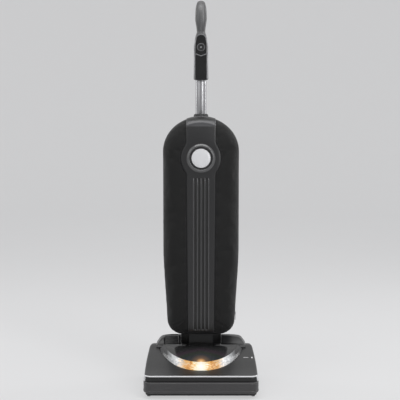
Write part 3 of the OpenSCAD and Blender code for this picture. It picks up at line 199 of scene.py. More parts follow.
class Shape:
    """A mesh under construction."""

    def __init__(self, source: Mesh | None = None) -> None:
        """Starts empty, or as a copy of a mesh.

        Args:
            source: the mesh that it copies, if any.
        """
        self.bm = bmesh.new()
        if source:
            self.bm.from_mesh(source)

    def parts(self) -> list[bmesh.types.BMVert | bmesh.types.BMEdge | bmesh.types.BMFace]:
        """Everything that the mesh is made of."""
        return [*self.bm.verts, *self.bm.edges, *self.bm.faces]

    def grid(self, rows: Sequence[Row], ring: bool = False, loop: bool = False, ends: bool = False,
             keep: Callable[[int, int], bool] | None = None) -> Self:
        """Lays a grid of quads through rows of points.

        Args:
            rows: rows of equal length, in millimetres.
            ring: closes each row on itself.
            loop: joins the last row to the first.
            ends: closes the first and last row with a face each.
            keep: says of a face's row and column whether it is there.

        Returns:
            The shape.
        """
        return self.skin([[self.bm.verts.new(spot(*p)) for p in row] for row in rows], ring, loop, ends, keep)

    def skin(self, made: list[list[bmesh.types.BMVert]], ring: bool, loop: bool, ends: bool,
             keep: Callable[[int, int], bool] | None = None) -> Self:
        """Lays quads between rows of vertices, closed as for a grid.

        Args:
            made: rows of vertices of equal length.
            ring: closes each row on itself.
            loop: joins the last row to the first.
            ends: closes the first and last row.
            keep: says of a face's row and column whether it is there.

        Returns:
            The shape.
        """
        n = len(made[0])
        for i in range(len(made) if loop else len(made) - 1):
            a, b = made[i], made[(i + 1) % len(made)]
            for j in range(n if ring else n - 1):
                if keep is None or keep(i, j):
                    k = (j + 1) % n
                    self.bm.faces.new((a[j], a[k], b[k], b[j]))
        if ends:
            self.bm.faces.new(made[0][::-1])
            self.bm.faces.new(made[-1])
        return self

    def closed(self, rows: Sequence[Row]) -> Self:
        """Lays a closed bar through rings of points."""
        return self.grid(rows, ring=True, ends=True)

    def turned(self, axis: Axis, centre: Point, line: Sequence[Pair], count: int = 96) -> Self:
        """Turns a line of (radius, offset along the axis) points.

        Args:
            axis: the axis of the turning.
            centre: the place of offset 0.
            line: the line; a radius of 0 closes the piece there.
            count: the number of faces round it.

        Returns:
            The shape.
        """
        rows = []
        for k in range(count):
            a = 2 * pi * k / count
            c, s = cos(a), sin(a)
            rows.append([tuple(u + v for u, v in zip(centre, axis.place(o, r * c, r * s))) for r, o in line])
        return self.grid(rows, loop=True)

    def block(self, centre: Point, size: Point, lean: float = 0.0) -> None:
        """Adds a box with its corners cut, leaning in the plane across the width.

        Args:
            centre: its middle.
            size: its width, depth and height.
            lean: the lean in radians, from upright towards +x.
        """
        x, d, z = centre
        w, h, t = (v / 2 for v in size)
        cut = min(w, h, t) * 0.35
        rows = []
        for dz, k in ((-t, cut), (-t + cut, 0), (t - cut, 0), (t, cut)):
            a, b = w - k, h - k
            ring = [(-a + cut, -b), (a - cut, -b), (a, -b + cut), (a, b - cut),
                    (a - cut, b), (-a + cut, b), (-a, b - cut), (-a, -b + cut)]
            rows.append([(x + p * cos(lean) + dz * sin(lean), d + q,
                          z + dz * cos(lean) - p * sin(lean)) for p, q in ring])
        self.closed(rows)

    def tube(self, line: Sequence[Vector], radius: float, count: int = 10) -> None:
        """Sweeps a round section along a line of places in metres.

        Args:
            line: the line.
            radius: the radius in millimetres.
            count: the number of faces round it.
        """
        side = Vector((0.3, 0.2, 1)).normalized()
        rows = []
        for i, p in enumerate(line):
            along = (line[min(i + 1, len(line) - 1)] - line[max(i - 1, 0)]).normalized()
            side = (side - along * side.dot(along)).normalized()
            other = along.cross(side)
            rows.append([self.bm.verts.new(p + (side * cos(t) + other * sin(t)) * radius * MM)
                         for t in (2 * pi * j / count for j in range(count))])
        self.skin(rows, ring=True, loop=False, ends=True)

    def flip(self) -> None:
        """Mirrors the whole across the middle."""
        for v in self.bm.verts:
            v.co.x = -v.co.x
        bmesh.ops.reverse_faces(self.bm, faces=self.bm.faces)

    def mesh(self, name: str, sharp: float = 38.0, outward: Point | None = None) -> Mesh:
        """Cleans the mesh and hands it over.

        Args:
            name: its name.
            sharp: edges that turn by more than this, in degrees, are left sharp.
            outward: a place inside an open skin, which its faces then look away from.

        Returns:
            The finished mesh.
        """
        bm = self.bm
        bmesh.ops.remove_doubles(bm, verts=bm.verts, dist=2e-6)
        bmesh.ops.dissolve_degenerate(bm, dist=1e-6, edges=bm.edges)
        bmesh.ops.recalc_face_normals(bm, faces=bm.faces)
        if outward is not None:
            middle = spot(*outward)
            if sum(f.normal.dot(f.calc_center_median() - middle) * f.calc_area() for f in bm.faces) < 0:
                bmesh.ops.reverse_faces(bm, faces=bm.faces)
        for f in bm.faces:
            f.smooth = True
        made = bpy.data.meshes.new(name)
        bm.to_mesh(made)
        bm.free()
        made.set_sharp_from_angle(angle=radians(sharp))
        return made


def settle(obj: Object) -> None:
    """Applies an object's modifiers to its mesh.

    Args:
        obj: the object.
    """
    graph = bpy.context.evaluated_depsgraph_get()
    made = bpy.data.meshes.new_from_object(obj.evaluated_get(graph), preserve_all_data_layers=True, depsgraph=graph)
    obj.modifiers.clear()
    obj.data = made


def linked(name: str, data: bpy.types.ID) -> Object:
    """Makes an object of its data and puts it in the scene.

    Args:
        name: the object's name.
        data: its data.

    Returns:
        The object.
    """
    obj = bpy.data.objects.new(name, data)
    bpy.context.scene.collection.objects.link(obj)
    return obj


class NodeGraph:
    """Places and joins the nodes of one tree."""

    def __init__(self, tree: NodeTree) -> None:
        """Keeps the tree."""
        self.tree = tree

    @classmethod
    def cleared(cls, owner: Material | bpy.types.World) -> Self:
        """The emptied nodes of a material or a world.

        Args:
            owner: the material or the world.

        Returns:
            Its graph.
        """
        owner.use_nodes = True
        owner.node_tree.nodes.clear()
        return cls(owner.node_tree)

    def add(self, kind: str, values: dict[str | int, object] | None = None, **settings: object) -> Node:
        """Adds a node.

        Args:
            kind: the node's type, without its ShaderNode prefix.
            values: numbers for its inputs, or the sockets that feed them.
            settings: the node's own settings.

        Returns:
            The node.
        """
        node = self.tree.nodes.new(kind if kind.startswith("Node") else "ShaderNode" + kind)
        for name, value in settings.items():
            setattr(node, name, value)
        for name, value in (values or {}).items():
            if isinstance(value, NodeSocket):
                self.tree.links.new(value, node.inputs[name])
            else:
                node.inputs[name].default_value = value
        return node

    def close(self, kind: str, shader: NodeSocket) -> None:
        """Ends the tree with an output node for its shader."""
        self.add(kind, {0: shader})

    def effect(self, effect: "Effect", **inputs: object) -> Sockets:
        """Places a shared effect and gives its outputs."""
        return self.add("Group", inputs, node_tree=effect.group()).outputs

    def math(self, operation: str, a: object, b: object = 0.0, clamp: bool = False) -> NodeSocket:
        """The result of a sum on two values."""
        return self.add("Math", {0: a, 1: b}, operation=operation, use_clamp=clamp).outputs[0]

    def plus(self, a: object, b: object, clamp: bool = False) -> NodeSocket:
        """The sum of two values."""
        return self.math("ADD", a, b, clamp)

    def minus(self, a: object, b: object) -> NodeSocket:
        """A value less another."""
        return self.math("SUBTRACT", a, b)

    def times(self, a: object, b: object, clamp: bool = False) -> NodeSocket:
        """The product of two values."""
        return self.math("MULTIPLY", a, b, clamp)

    def size(self, a: object) -> NodeSocket:
        """A value without its sign."""
        return self.math("ABSOLUTE", a)

    def blend(self, share: object, a: object, b: object, how: str = "MIX") -> NodeSocket:
        """Colour a with a share of colour b."""
        return self.add("Mix", {0: share, 6: a, 7: b}, data_type="RGBA", blend_type=how).outputs[2]

    def span(self, value: object, low: float, high: float, to_low: float = 0.0, to_high: float = 1.0) -> NodeSocket:
        """A value mapped from one span to another, and held there."""
        return self.add("MapRange", {0: value, 1: low, 2: high, 3: to_low, 4: to_high}).outputs[0]

    def place(self) -> NodeSocket:
        """The piece's own coordinates, in metres."""
        return self.add("TexCoord").outputs["Object"]

    def axes(self) -> list[NodeSocket]:
        """The piece's own coordinates across, back and up."""
        return list(self.add("SeparateXYZ", {0: self.place()}).outputs)

    def vector(self, operation: str, a: object, b: object = (0.0, 0.0, 0.0)) -> Sockets:
        """The outputs of a sum on two vectors."""
        return self.add("VectorMath", {0: a, 1: b}, operation=operation).outputs

    def stretched(self, by: object) -> NodeSocket:
        """The piece's own coordinates, stretched along each axis."""
        return self.vector("MULTIPLY", self.place(), by)[0]

    def noise(self, scale: object, detail: float = 2.0, vector: object | None = None, rough: float = 0.5) -> NodeSocket:
        """A noise value from 0 to 1, in the piece's own coordinates."""
        where = vector or self.place()
        return self.add("TexNoise", {"Vector": where, "Scale": scale, "Detail": detail, "Roughness": rough}).outputs[0]

    def bump(self, strength: float, distance: float, height: NodeSocket) -> NodeSocket:
        """The normal of a relief, its distance in metres."""
        return self.add("Bump", {"Strength": strength, "Distance": distance, "Height": height}).outputs[0]

    def ramp(self, value: NodeSocket, stops: Stops) -> NodeSocket:
        """A colour that runs through (place, screen colour) stops as a value rises from 0 to 1.

        Args:
            value: the value.
            stops: the stops, from 0 to 1.

        Returns:
            The colour.
        """
        node = self.add("ValToRGB", {0: value})
        elements = node.color_ramp.elements
        elements[0].color, elements[1].color = tone(*stops[0][1]), tone(*stops[-1][1])
        for place, shade in stops[1:-1]:
            elements.new(place).color = tone(*shade)
        return node.outputs[0]

    def glow(self, shader: Node, colour: NodeSocket, strength: float = 1.0) -> None:
        """Gives a surface light of its own."""
        self.tree.links.new(colour, shader.inputs["Emission Color"])
        shader.inputs["Emission Strength"].default_value = strength

    def seen(self) -> NodeSocket:
        """1 for the rays that show a surface straight, in gloss or through glass.

        Returns:
            The value, 1 or 0.
        """
        path = self.add("LightPath").outputs
        glass = self.math("MAXIMUM", path["Is Glossy Ray"], path["Is Transmission Ray"])
        return self.math("MAXIMUM", path["Is Camera Ray"], glass)


Builder = Callable[[NodeGraph, Sockets], Sockets]


@dataclass
class Effect:
    """A node group that several finishes share, built on its first use."""

    build: Builder
    inputs: dict[str, object]
    tree: NodeTree | None = None

    def group(self) -> NodeTree:
        """The node group.

        Returns:
            The node group.
        """
        if self.tree is None:
            tree = bpy.data.node_groups.new(self.build.__name__, "ShaderNodeTree")
            for title, value in self.inputs.items():
                kind = "Float" if isinstance(value, float) else "Vector" if len(value) == 3 else "Color"
                tree.interface.new_socket(title, in_out="INPUT", socket_type="NodeSocket" + kind).default_value = value
            graph = NodeGraph(tree)
            found = self.build(graph, graph.add("NodeGroupInput").outputs)
            for title, socket in found.items():
                kind = "Color" if socket.type == "RGBA" else "Float"
                tree.interface.new_socket(title, in_out="OUTPUT", socket_type="NodeSocket" + kind)
            graph.add("NodeGroupOutput", found)
            self.tree = tree
        return self.tree


def effect(**inputs: object) -> Callable[[Builder], Effect]:
    """Makes an effect of the function that lays its nodes, with the group's inputs and their values."""
    return lambda build: Effect(build, inputs)


@effect(Scale=1400.0)
def moulded_grain(g: NodeGraph, given: Sockets) -> Sockets:
    """Spark-eroded grain of a moulding: fine pits with a slower roll under them.

    Args:
        g: the nodes of the tree.
        given: the group's inputs.

    Returns:
        The group's outputs.
    """
    cells = g.add("TexVoronoi", {"Vector": g.place(), "Scale": given["Scale"]}, feature="SMOOTH_F1").outputs[0]
    roll = g.noise(g.times(given["Scale"], 0.11), 3.0)
    return {"Height": g.plus(g.times(cells, 0.6), g.times(roll, 0.8))}


@effect(Stretch=(900.0, 900.0, 20.0))
def drawn_lines(g: NodeGraph, given: Sockets) -> Sockets:
    """Fine lines left by drawing, brushing or turning, long along one axis."""
    return {"Height": g.noise(1.0, 4.0, g.stretched(given["Stretch"]), 0.7)}


@effect(Threads=1100.0)
def plain_weave(g: NodeGraph, given: Sockets) -> Sockets:
    """Over-and-under threads, with the tone of each crossing.

    Args:
        g: the nodes of the tree.
        given: the group's inputs.

    Returns:
        The group's outputs.
    """
    threads = given["Threads"]
    x, y, z = g.axes()
    wobble = g.times(g.noise(35.0, 1.0), 0.0012)
    u = g.plus(g.plus(x, y), wobble)
    v = g.plus(g.plus(z, g.times(y, 0.35)), wobble)
    turn = g.times(threads, pi)
    warp, weft = (g.size(g.math("SINE", g.times(along, turn))) for along in (u, v))
    over = g.add("TexChecker", {"Vector": g.add("CombineXYZ", {0: u, 1: v}).outputs[0], "Color1": (0, 0, 0, 1),
                                "Color2": (1, 1, 1, 1), "Scale": threads}).outputs["Fac"]
    height = g.plus(g.times(warp, over), g.times(weft, g.minus(1.0, over)))
    slub = g.noise(220.0, 2.0)
    return {"Height": height, "Tone": g.times(height, g.span(slub, 0.3, 0.7, 0.8, 1.0))}


@effect(Color=(0.5, 0.5, 0.5, 1), Scale=14.0, Drift=0.2)
def tone_drift(g: NodeGraph, given: Sockets) -> Sockets:
    """A colour that drifts a little over the surface, and the same drift as a value about 0.

    Args:
        g: the nodes of the tree.
        given: the group's inputs.

    Returns:
        The group's outputs.
    """
    slow, fine = g.noise(given["Scale"], 3.0), g.noise(g.times(given["Scale"], 13.0), 2.0)
    share = g.times(g.plus(g.minus(slow, 0.5), g.times(g.minus(fine, 0.5), 0.5)), given["Drift"])
    factor = g.plus(1.0, share)
    grey = g.add("CombineColor", {0: factor, 1: factor, 2: factor}).outputs[0]
    return {"Color": g.blend(1.0, given["Color"], grey, "MULTIPLY"), "Value": share}


@effect(Amount=0.2)
def edge_wear(g: NodeGraph, given: Sockets) -> Sockets:
    """Where hands and furniture have rubbed the outer edges."""
    raised = g.span(g.add("NewGeometry").outputs["Pointiness"], 0.52, 0.62)
    return {"Mask": g.times(g.times(raised, g.span(g.noise(70.0, 4.0), 0.42, 0.62)), given["Amount"], True)}


@effect(Amount=0.5)
def painted_crevice_shade(g: NodeGraph, given: Sockets) -> Sockets:
    """Painted shade: darkens grooves and inner corners, where shade falls."""
    sunk = g.span(g.add("NewGeometry").outputs["Pointiness"], 0.5, 0.42)
    return {"Mask": g.times(sunk, given["Amount"], True)}


@effect(Amount=0.05)
def settled_dust(g: NodeGraph, given: Sockets) -> Sockets:
    """A trace of dust on the faces that look up.

    Args:
        g: the nodes of the tree.
        given: the group's inputs.

    Returns:
        The group's outputs.
    """
    up = g.add("SeparateXYZ", {0: g.add("NewGeometry").outputs["Normal"]}).outputs[2]
    lying = g.times(g.span(up, 0.2, 1.0), g.span(g.noise(300.0, 3.0), 0.45, 0.7))
    return {"Mask": g.times(lying, given["Amount"], True)}


def tone(red: float, green: float, blue: float) -> Colour:
    """A linear colour from screen values of 0 to 255.

    Args:
        red: the red channel.
        green: the green channel.
        blue: the blue channel.

    Returns:
        The colour, with full alpha.
    """
    def linear(value: float) -> float:
        """One channel's linear value."""
        value /= 255
        return value / 12.92 if value <= 0.04045 else ((value + 0.055) / 1.055) ** 2.4
    return (linear(red), linear(green), linear(blue), 1.0)


@dataclass(frozen=True)
class Finish:
    """A surface: its colour, gloss, grain and wear. This one is a moulded plastic."""

    name: str
    shade: Point
    rough: float = 0.45
    metal: float = 0.0
    specular: float = 0.5
    grain: float = 1500.0
    relief: float = 0.00003
    drift: float = 0.16
    wear: float = 0.25
    dust: float = 0.04
    sheen: float = 0.0
    # How strongly grooves and inner corners are darkened: painted shade.
    crevice_shade: float = 0.6

    def height(self, g: NodeGraph) -> NodeSocket:
        """The relief that the bump follows."""
        return g.effect(moulded_grain, Scale=self.grain)["Height"]

    def colour(self, g: NodeGraph, base: NodeSocket) -> NodeSocket:
        """The colour before wear and dust."""
        return base

    def extras(self, g: NodeGraph, shader: Node) -> None:
        """Settings of the shader that only some finishes have."""

    def toned(self, share: float, lift: float = 0.0) -> Colour:
        """The finish's own colour, darker or paler."""
        return tone(*(min(255.0, lift + share * c) for c in self.shade))

    def material(self) -> Material:
        """The finish as a material, made on its first use.

        Returns:
            The material.
        """
        made = bpy.data.materials.get(self.name)
        if made is not None:
            return made
        made = bpy.data.materials.new(self.name)
        g = NodeGraph.cleared(made)
        drift = g.effect(tone_drift, Color=tone(*self.shade), Drift=self.drift)
        worn, dusty, crevice_mask = (g.effect(mask, Amount=amount)[0] for mask, amount in (
            (edge_wear, self.wear), (settled_dust, self.dust), (painted_crevice_shade, self.crevice_shade)))
        # Painted shade: grooves and inner corners darken towards a third of the colour.
        base = g.blend(crevice_mask, self.colour(g, drift["Color"]), self.toned(0.35))
        rough = g.plus(g.times(drift["Value"], 0.4), self.rough)
        shader = g.add("BsdfPrincipled", {
            "Base Color": g.blend(dusty, g.blend(worn, base, self.toned(1.35, 18)), tone(150, 147, 140)),
            "Roughness": g.plus(rough, g.times(dusty, 0.5), True), "Metallic": self.metal,
            "Specular IOR Level": self.specular, "Sheen Weight": self.sheen, "Sheen Roughness": 0.4,
            "Normal": g.bump(0.8, self.relief, self.height(g))})
        self.extras(g, shader)
        g.close("OutputMaterial", shader.outputs[0])
        return made


@dataclass(frozen=True)
class RibbedStrip(Finish):
    """Moulded plastic, with painted shade in the grooves between the ribs and a painted highlight on the bend at its
    top.
    """

    pitch: float = 0.011
    ribbed: float = 0.0194
    feet: float = 0.174
    heads: float = 0.6215
    # Heights of the bend at the top that gets a painted highlight.
    lip: Pair = (0.7715, 0.7905)

    def colour(self, g: NodeGraph, base: NodeSocket) -> NodeSocket:
        """Painted shade in dark lines halfway between the ribs, from their feet to their heads, and a painted highlight
        on the bend at the top.

        Args:
            g: the nodes of the tree.
            base: the drifting colour of the finish.

        Returns:
            The colour.
        """
        x, _, z = g.axes()
        side = g.size(x)
        off = g.size(g.minus(g.math("FRACT", g.math("DIVIDE", side, self.pitch)), 0.5))
        # Painted shade along the middle of each groove.
        line = g.times(g.span(off, 0.275, 0.25), g.span(side, self.ribbed + 0.0004, self.ribbed))
        within = g.times(g.span(z, self.feet - 0.001, self.feet), g.span(z, self.heads + 0.001, self.heads))
        # Painted highlight on the bend at the top.
        lip = g.times(g.span(z, self.lip[0], self.lip[0] + 0.004), g.span(z, self.lip[1], self.lip[1] - 0.002))
        return g.blend(g.times(line, within), g.blend(lip, base, self.toned(2.3)), self.toned(0.22))


@dataclass(frozen=True)
class HoodMoulding(Finish):
    """Moulded plastic with painted shade in the recess at its foot."""

    def colour(self, g: NodeGraph, base: NodeSocket) -> NodeSocket:
        """Painted shade in the recess over the bumper, with a ragged upper edge."""
        shade_height = g.plus(g.axes()[2], g.times(g.noise(40.0, 3.0), 0.002))
        return g.blend(g.span(shade_height, 0.066, 0.0625), base, self.toned(0.55))


@dataclass(frozen=True)
class DrawnMetal(Finish):
    """Metal with fine lines along one axis."""

    metal: float = 1.0
    lines: Point = (1400.0, 1400.0, 12.0)

    def height(self, g: NodeGraph) -> NodeSocket:
        """Lines of drawing or brushing."""
        return g.effect(drawn_lines, Stretch=self.lines)["Height"]


@dataclass(frozen=True)
class Cloth(Finish):
    """Woven fabric with a sheen, darker between its threads."""

    threads: float = 900.0

    def height(self, g: NodeGraph) -> NodeSocket:
        """Threads with slack between them."""
        weave = g.effect(plain_weave, Threads=self.threads)["Height"]
        return g.plus(weave, g.times(g.noise(60.0, 4.0), 1.5))

    def colour(self, g: NodeGraph, base: NodeSocket) -> NodeSocket:
        """Lighter on the threads and darker between them."""
        weave = g.effect(plain_weave, Threads=self.threads)["Tone"]
        return g.blend(g.span(weave, 0.1, 0.95, 0.55, 0.0), base, self.toned(0.55))


@dataclass(frozen=True)
class Paper(Finish):
    """Fibrous paper or card."""

    def height(self, g: NodeGraph) -> NodeSocket:
        """Matted fibres."""
        return g.plus(g.noise(700.0, 5.0), g.times(g.noise(90.0, 2.0), 1.2))

    def colour(self, g: NodeGraph, base: NodeSocket) -> NodeSocket:
        """A few darker fibres."""
        fibre = g.noise(1.0, 4.0, g.stretched((900.0, 900.0, 160.0)))
        return g.blend(g.span(fibre, 0.6, 0.72, 0.0, 0.35), base, self.toned(0.72))


@dataclass(frozen=True)
class TurnedWood(Finish):
    """Turned hardwood with the grain along the roll."""

    def height(self, g: NodeGraph) -> NodeSocket:
        """Open grain along the width."""
        return g.effect(drawn_lines, Stretch=(25.0, 900.0, 900.0))["Height"]

    def colour(self, g: NodeGraph, base: NodeSocket) -> NodeSocket:
        """Darker streaks along the width."""
        streak = g.effect(drawn_lines, Stretch=(12.0, 300.0, 300.0))["Height"]
        return g.blend(g.span(streak, 0.45, 0.65), base, self.toned(0.7))


@dataclass(frozen=True)
class PolishedDome(Finish):
    """Polished near-black plastic, with painted lamp light near the lamp: faint rainbow hues and a warm glow on its
    rim.
    """

    lamp_light_tints: Stops = (
        (0.0, (62, 56, 48)), (0.16, (56, 60, 60)), (0.3, (50, 54, 60)), (0.42, (48, 56, 48)), (0.54, (58, 48, 56)),
        (0.72, (40, 40, 41)), (1.0, (16, 16, 17)))
    lamp_glow: Stops = (
        (0.0, (255, 226, 170)), (0.12, (214, 160, 96)), (0.3, (92, 66, 44)), (0.6, (24, 20, 16)), (1.0, (0, 0, 0)))
    lamp: Point = (0.0, -0.068, 0.09)

    def colour(self, g: NodeGraph, base: NodeSocket) -> NodeSocket:
        """Painted lamp light: bands of faint tint, paler near the lamp, that fade to near black away from it.

        Args:
            g: the nodes of the tree.
            base: the drifting colour of the finish.

        Returns:
            The colour.
        """
        x, y, _ = g.axes()
        far = g.plus(y, g.times(g.size(x), 0.35))
        patches = g.span(g.noise(28.0, 2.0), 0.3, 0.7, 0.55, 1.0)
        return g.blend(patches, base, g.ramp(g.span(far, -0.07, 0.045), self.lamp_light_tints))

    def extras(self, g: NodeGraph, shader: Node) -> None:
        """Painted lamp light: a warm glow on the dome's rim near the lamp.

        Args:
            g: the nodes of the tree.
            shader: the Principled node.
        """
        near = g.vector("MULTIPLY", g.vector("SUBTRACT", g.place(), self.lamp)[0], (1.0, 0.8, 1.0))[0]
        far = g.vector("LENGTH", near)["Value"]
        g.glow(shader, g.ramp(g.span(far, 0.0, 0.05), self.lamp_glow))


@dataclass(frozen=True)
class LitLens(Finish):
    """Clear crescent lens: silvery prisms at its ends, with painted lamp light in it, white-hot and golden near its
    middle.
    """

    # Colours of the painted lamp light, from the middle outwards.
    light: Stops = (
        (0.0, (250, 246, 236)), (0.1, (246, 236, 208)), (0.16, (240, 206, 140)), (0.24, (226, 160, 70)),
        (0.34, (176, 108, 40)), (0.42, (232, 176, 96)), (0.5, (214, 184, 146)), (0.62, (150, 144, 138)),
        (0.78, (70, 70, 71)), (0.9, (10, 10, 10)), (1.0, (0, 0, 0)))

    def height(self, g: NodeGraph) -> NodeSocket:
        """Upright prisms across the width."""
        return g.size(g.math("SINE", g.times(g.axes()[0], 700.0)))

    def colour(self, g: NodeGraph, base: NodeSocket) -> NodeSocket:
        """Dark under the lamp's light, silvery in the middle of each arm, and smoky at its upper end.

        Args:
            g: the nodes of the tree.
            base: the drifting colour of the finish.

        Returns:
            The colour.
        """
        side = g.size(g.axes()[0])
        streaks = g.span(g.noise(1.0, 3.0, g.stretched((160.0, 60.0, 60.0))), 0.35, 0.65, 0.0, 0.5)
        arm = g.blend(g.span(side, 0.078, 0.102), g.blend(streaks, base, tone(120, 122, 124)), tone(44, 44, 45))
        return g.blend(g.span(side, 0.05, 0.066), tone(46, 42, 36), arm)

    def extras(self, g: NodeGraph, shader: Node) -> None:
        """Painted lamp light in the lens: a glow with a white core, golden streaks beside it and pale ends.

        Args:
            g: the nodes of the tree.
            shader: the Principled node.
        """
        x, _, z = g.axes()
        side = g.size(x)
        low = g.times(g.span(z, 0.094, 0.074, 0.0, -0.006), g.span(side, 0.0, 0.02))
        streaks = g.noise(1.0, 4.0, g.stretched((70.0, 200.0, 520.0)))
        patch = g.times(g.minus(streaks, 0.5), g.span(side, 0.006, 0.02, 0.0, 0.08))
        # Painted lamp light: the lens glows though it is no lamp.
        g.glow(shader, g.ramp(g.span(g.plus(g.plus(side, low), patch), 0.0, 0.1), self.light))
        shader.inputs["IOR"].default_value = 1.49


@dataclass(frozen=True)
class LampGlass(Finish):
    """Glass of the lamp bulb, lit from inside."""

    def extras(self, g: NodeGraph, shader: Node) -> None:
        """A warm glow, hottest at the bulb's middle."""
        hot = g.span(g.size(g.minus(g.axes()[2], 0.073)), 0.0, 0.007)
        g.glow(shader, g.blend(hot, tone(255, 250, 236), tone(255, 196, 110)), 4.0)


ACROSS = (12.0, 1400.0, 1400.0)
FINISHES: dict[str, Finish] = {
    "base_black": Finish("chassis_moulding", (30, 30, 31), 0.55),
    "sole_metal": DrawnMetal("sole_plate_metal", (150, 150, 152), 0.35, lines=ACROSS),
    "steel": DrawnMetal("plated_steel", (172, 172, 174), 0.28, lines=ACROSS),
    "bumper_grey": Finish("bumper_soft_plastic", (62, 61, 62), 0.4, specular=0.45),
    "silver_trim": DrawnMetal("trim_satin_silver", (222, 222, 224), 0.3, metal=0.1, lines=ACROSS,
                              wear=0.1, crevice_shade=0.1),
    "hood_grey": HoodMoulding("hood_satin_moulding", (40, 40, 41), 0.34, specular=0.45, grain=1900.0, relief=0.00002),
    "gloss_black": PolishedDome("dome_polished", (46, 46, 47), 0.13, relief=0.000003, wear=0.05),
    "clear_lens": LitLens("headlamp_lens", (214, 216, 218), 0.16, specular=0.6, relief=0.0004, wear=0.0,
                          dust=0.0, crevice_shade=0.0),
    "bulb_glass": LampGlass("lamp_bulb_glass", (255, 236, 200), 0.1, wear=0.0, dust=0.0),
    "black_plastic": Finish("fitting_moulding", (26, 26, 27), 0.5),
    "mirror_silver": DrawnMetal("reflector_bright", (225, 225, 226), 0.08, relief=0.000004),
    "brush_wood": TurnedWood("brush_roll_wood", (158, 118, 74), 0.5, relief=0.0001),
    "bristle_nylon": Finish("bristle_nylon", (26, 26, 27), 0.35, drift=0.5),
    "belt_rubber": Finish("belt_rubber", (22, 22, 22), 0.75, specular=0.25, grain=2600.0, relief=0.00008),
    "motor_metal": DrawnMetal("motor_case_zinc", (128, 128, 132), 0.42, metal=0.9, lines=(1400.0, 60.0, 60.0)),
    "wheel_rubber": Finish("tyre_rubber", (30, 30, 30), 0.8, specular=0.25, grain=1200.0, relief=0.0001, dust=0.12),
    "pedal_grey": Finish("pedal_moulding", (48, 48, 49), 0.42),
    "bush_metal": DrawnMetal("pivot_bush_metal", (126, 126, 130), 0.32, lines=ACROSS),
    "shell_black": Finish("housing_moulding", (34, 34, 35), 0.42, specular=0.4, grain=1700.0),
    "zip_black": Finish("zip_tape", (22, 22, 23), 0.6, specular=0.3, grain=2600.0, relief=0.00012),
    "zip_metal": DrawnMetal("zip_gunmetal", (66, 66, 70), 0.3, metal=0.9),
    "cover_fabric": Cloth("cover_coated_cloth", (20, 20, 20), 0.66, specular=0.24, relief=0.00018, sheen=0.14,
                          dust=0.03, wear=0.1),
    "cover_piping": Cloth("piping_cloth", (34, 34, 35), 0.55, specular=0.25, relief=0.0001, threads=1500.0,
                          dust=0.03, wear=0.1),
    "cover_thread": Finish("stitch_thread", (52, 52, 54), 0.6, specular=0.3, grain=3000.0, relief=0.00005),
    "frame_silver": DrawnMetal("grip_frame_silver", (118, 118, 120), 0.3, metal=0.4, wear=0.1),
    "strip_grey": RibbedStrip("strip_satin_moulding", (30, 30, 31), 0.3, specular=0.5, grain=2100.0, relief=0.00002),
    # The ribs are the strip's plastic, given a paler colour than the strip: a painted highlight.
    "rib_highlit_grey": Finish("rib_highlit_moulding", (56, 56, 57), 0.22, specular=0.7, grain=2100.0, relief=0.00001,
                       crevice_shade=0.0),
    "ring_grey": Finish("boss_ring_moulding", (74, 74, 75), 0.22, specular=0.8, grain=2100.0, relief=0.00001),
    "silver_badge": DrawnMetal("medallion_satin", (222, 222, 224), 0.3, metal=0.25, lines=(1500.0, 30.0, 30.0),
                               wear=0.05),
    "collar_card": Paper("collar_card", (198, 168, 120), 0.8, specular=0.2, relief=0.0002),
    "bag_paper": Paper("filter_bag_paper", (222, 214, 196), 0.85, specular=0.15, relief=0.0003),
    "tube_metal": DrawnMetal("tube_polished", (150, 150, 152), 0.34, relief=0.000008, wear=0.05),
    "grip_grey": Finish("grip_satin_moulding", (74, 74, 75), 0.4, specular=0.8, grain=2000.0, relief=0.00001),
    "inset_black": Finish("inset_ribbed_rubber", (14, 14, 15), 0.6, specular=0.3),
    "panel_black": Finish("switch_panel_gloss", (6, 6, 7), 0.2, relief=0.000004),
    "bezel_grey": Finish("switch_bezel", (92, 92, 94), 0.3, relief=0.000006),
    "rocker_grey": Finish("switch_rocker", (26, 26, 27), 0.35),
    "gland_rubber": Finish("gland_rubber", (24, 24, 24), 0.8, specular=0.25, grain=1200.0, relief=0.0001),
}
NODE_SLOTS = {row["node"]: row["material_slot"] for row in frame["record"]["subparts"]}
NODE_BODIES = {node: body for body, nodes in frame["record"]["behaviour"]["bodies"].items() for node in nodes}


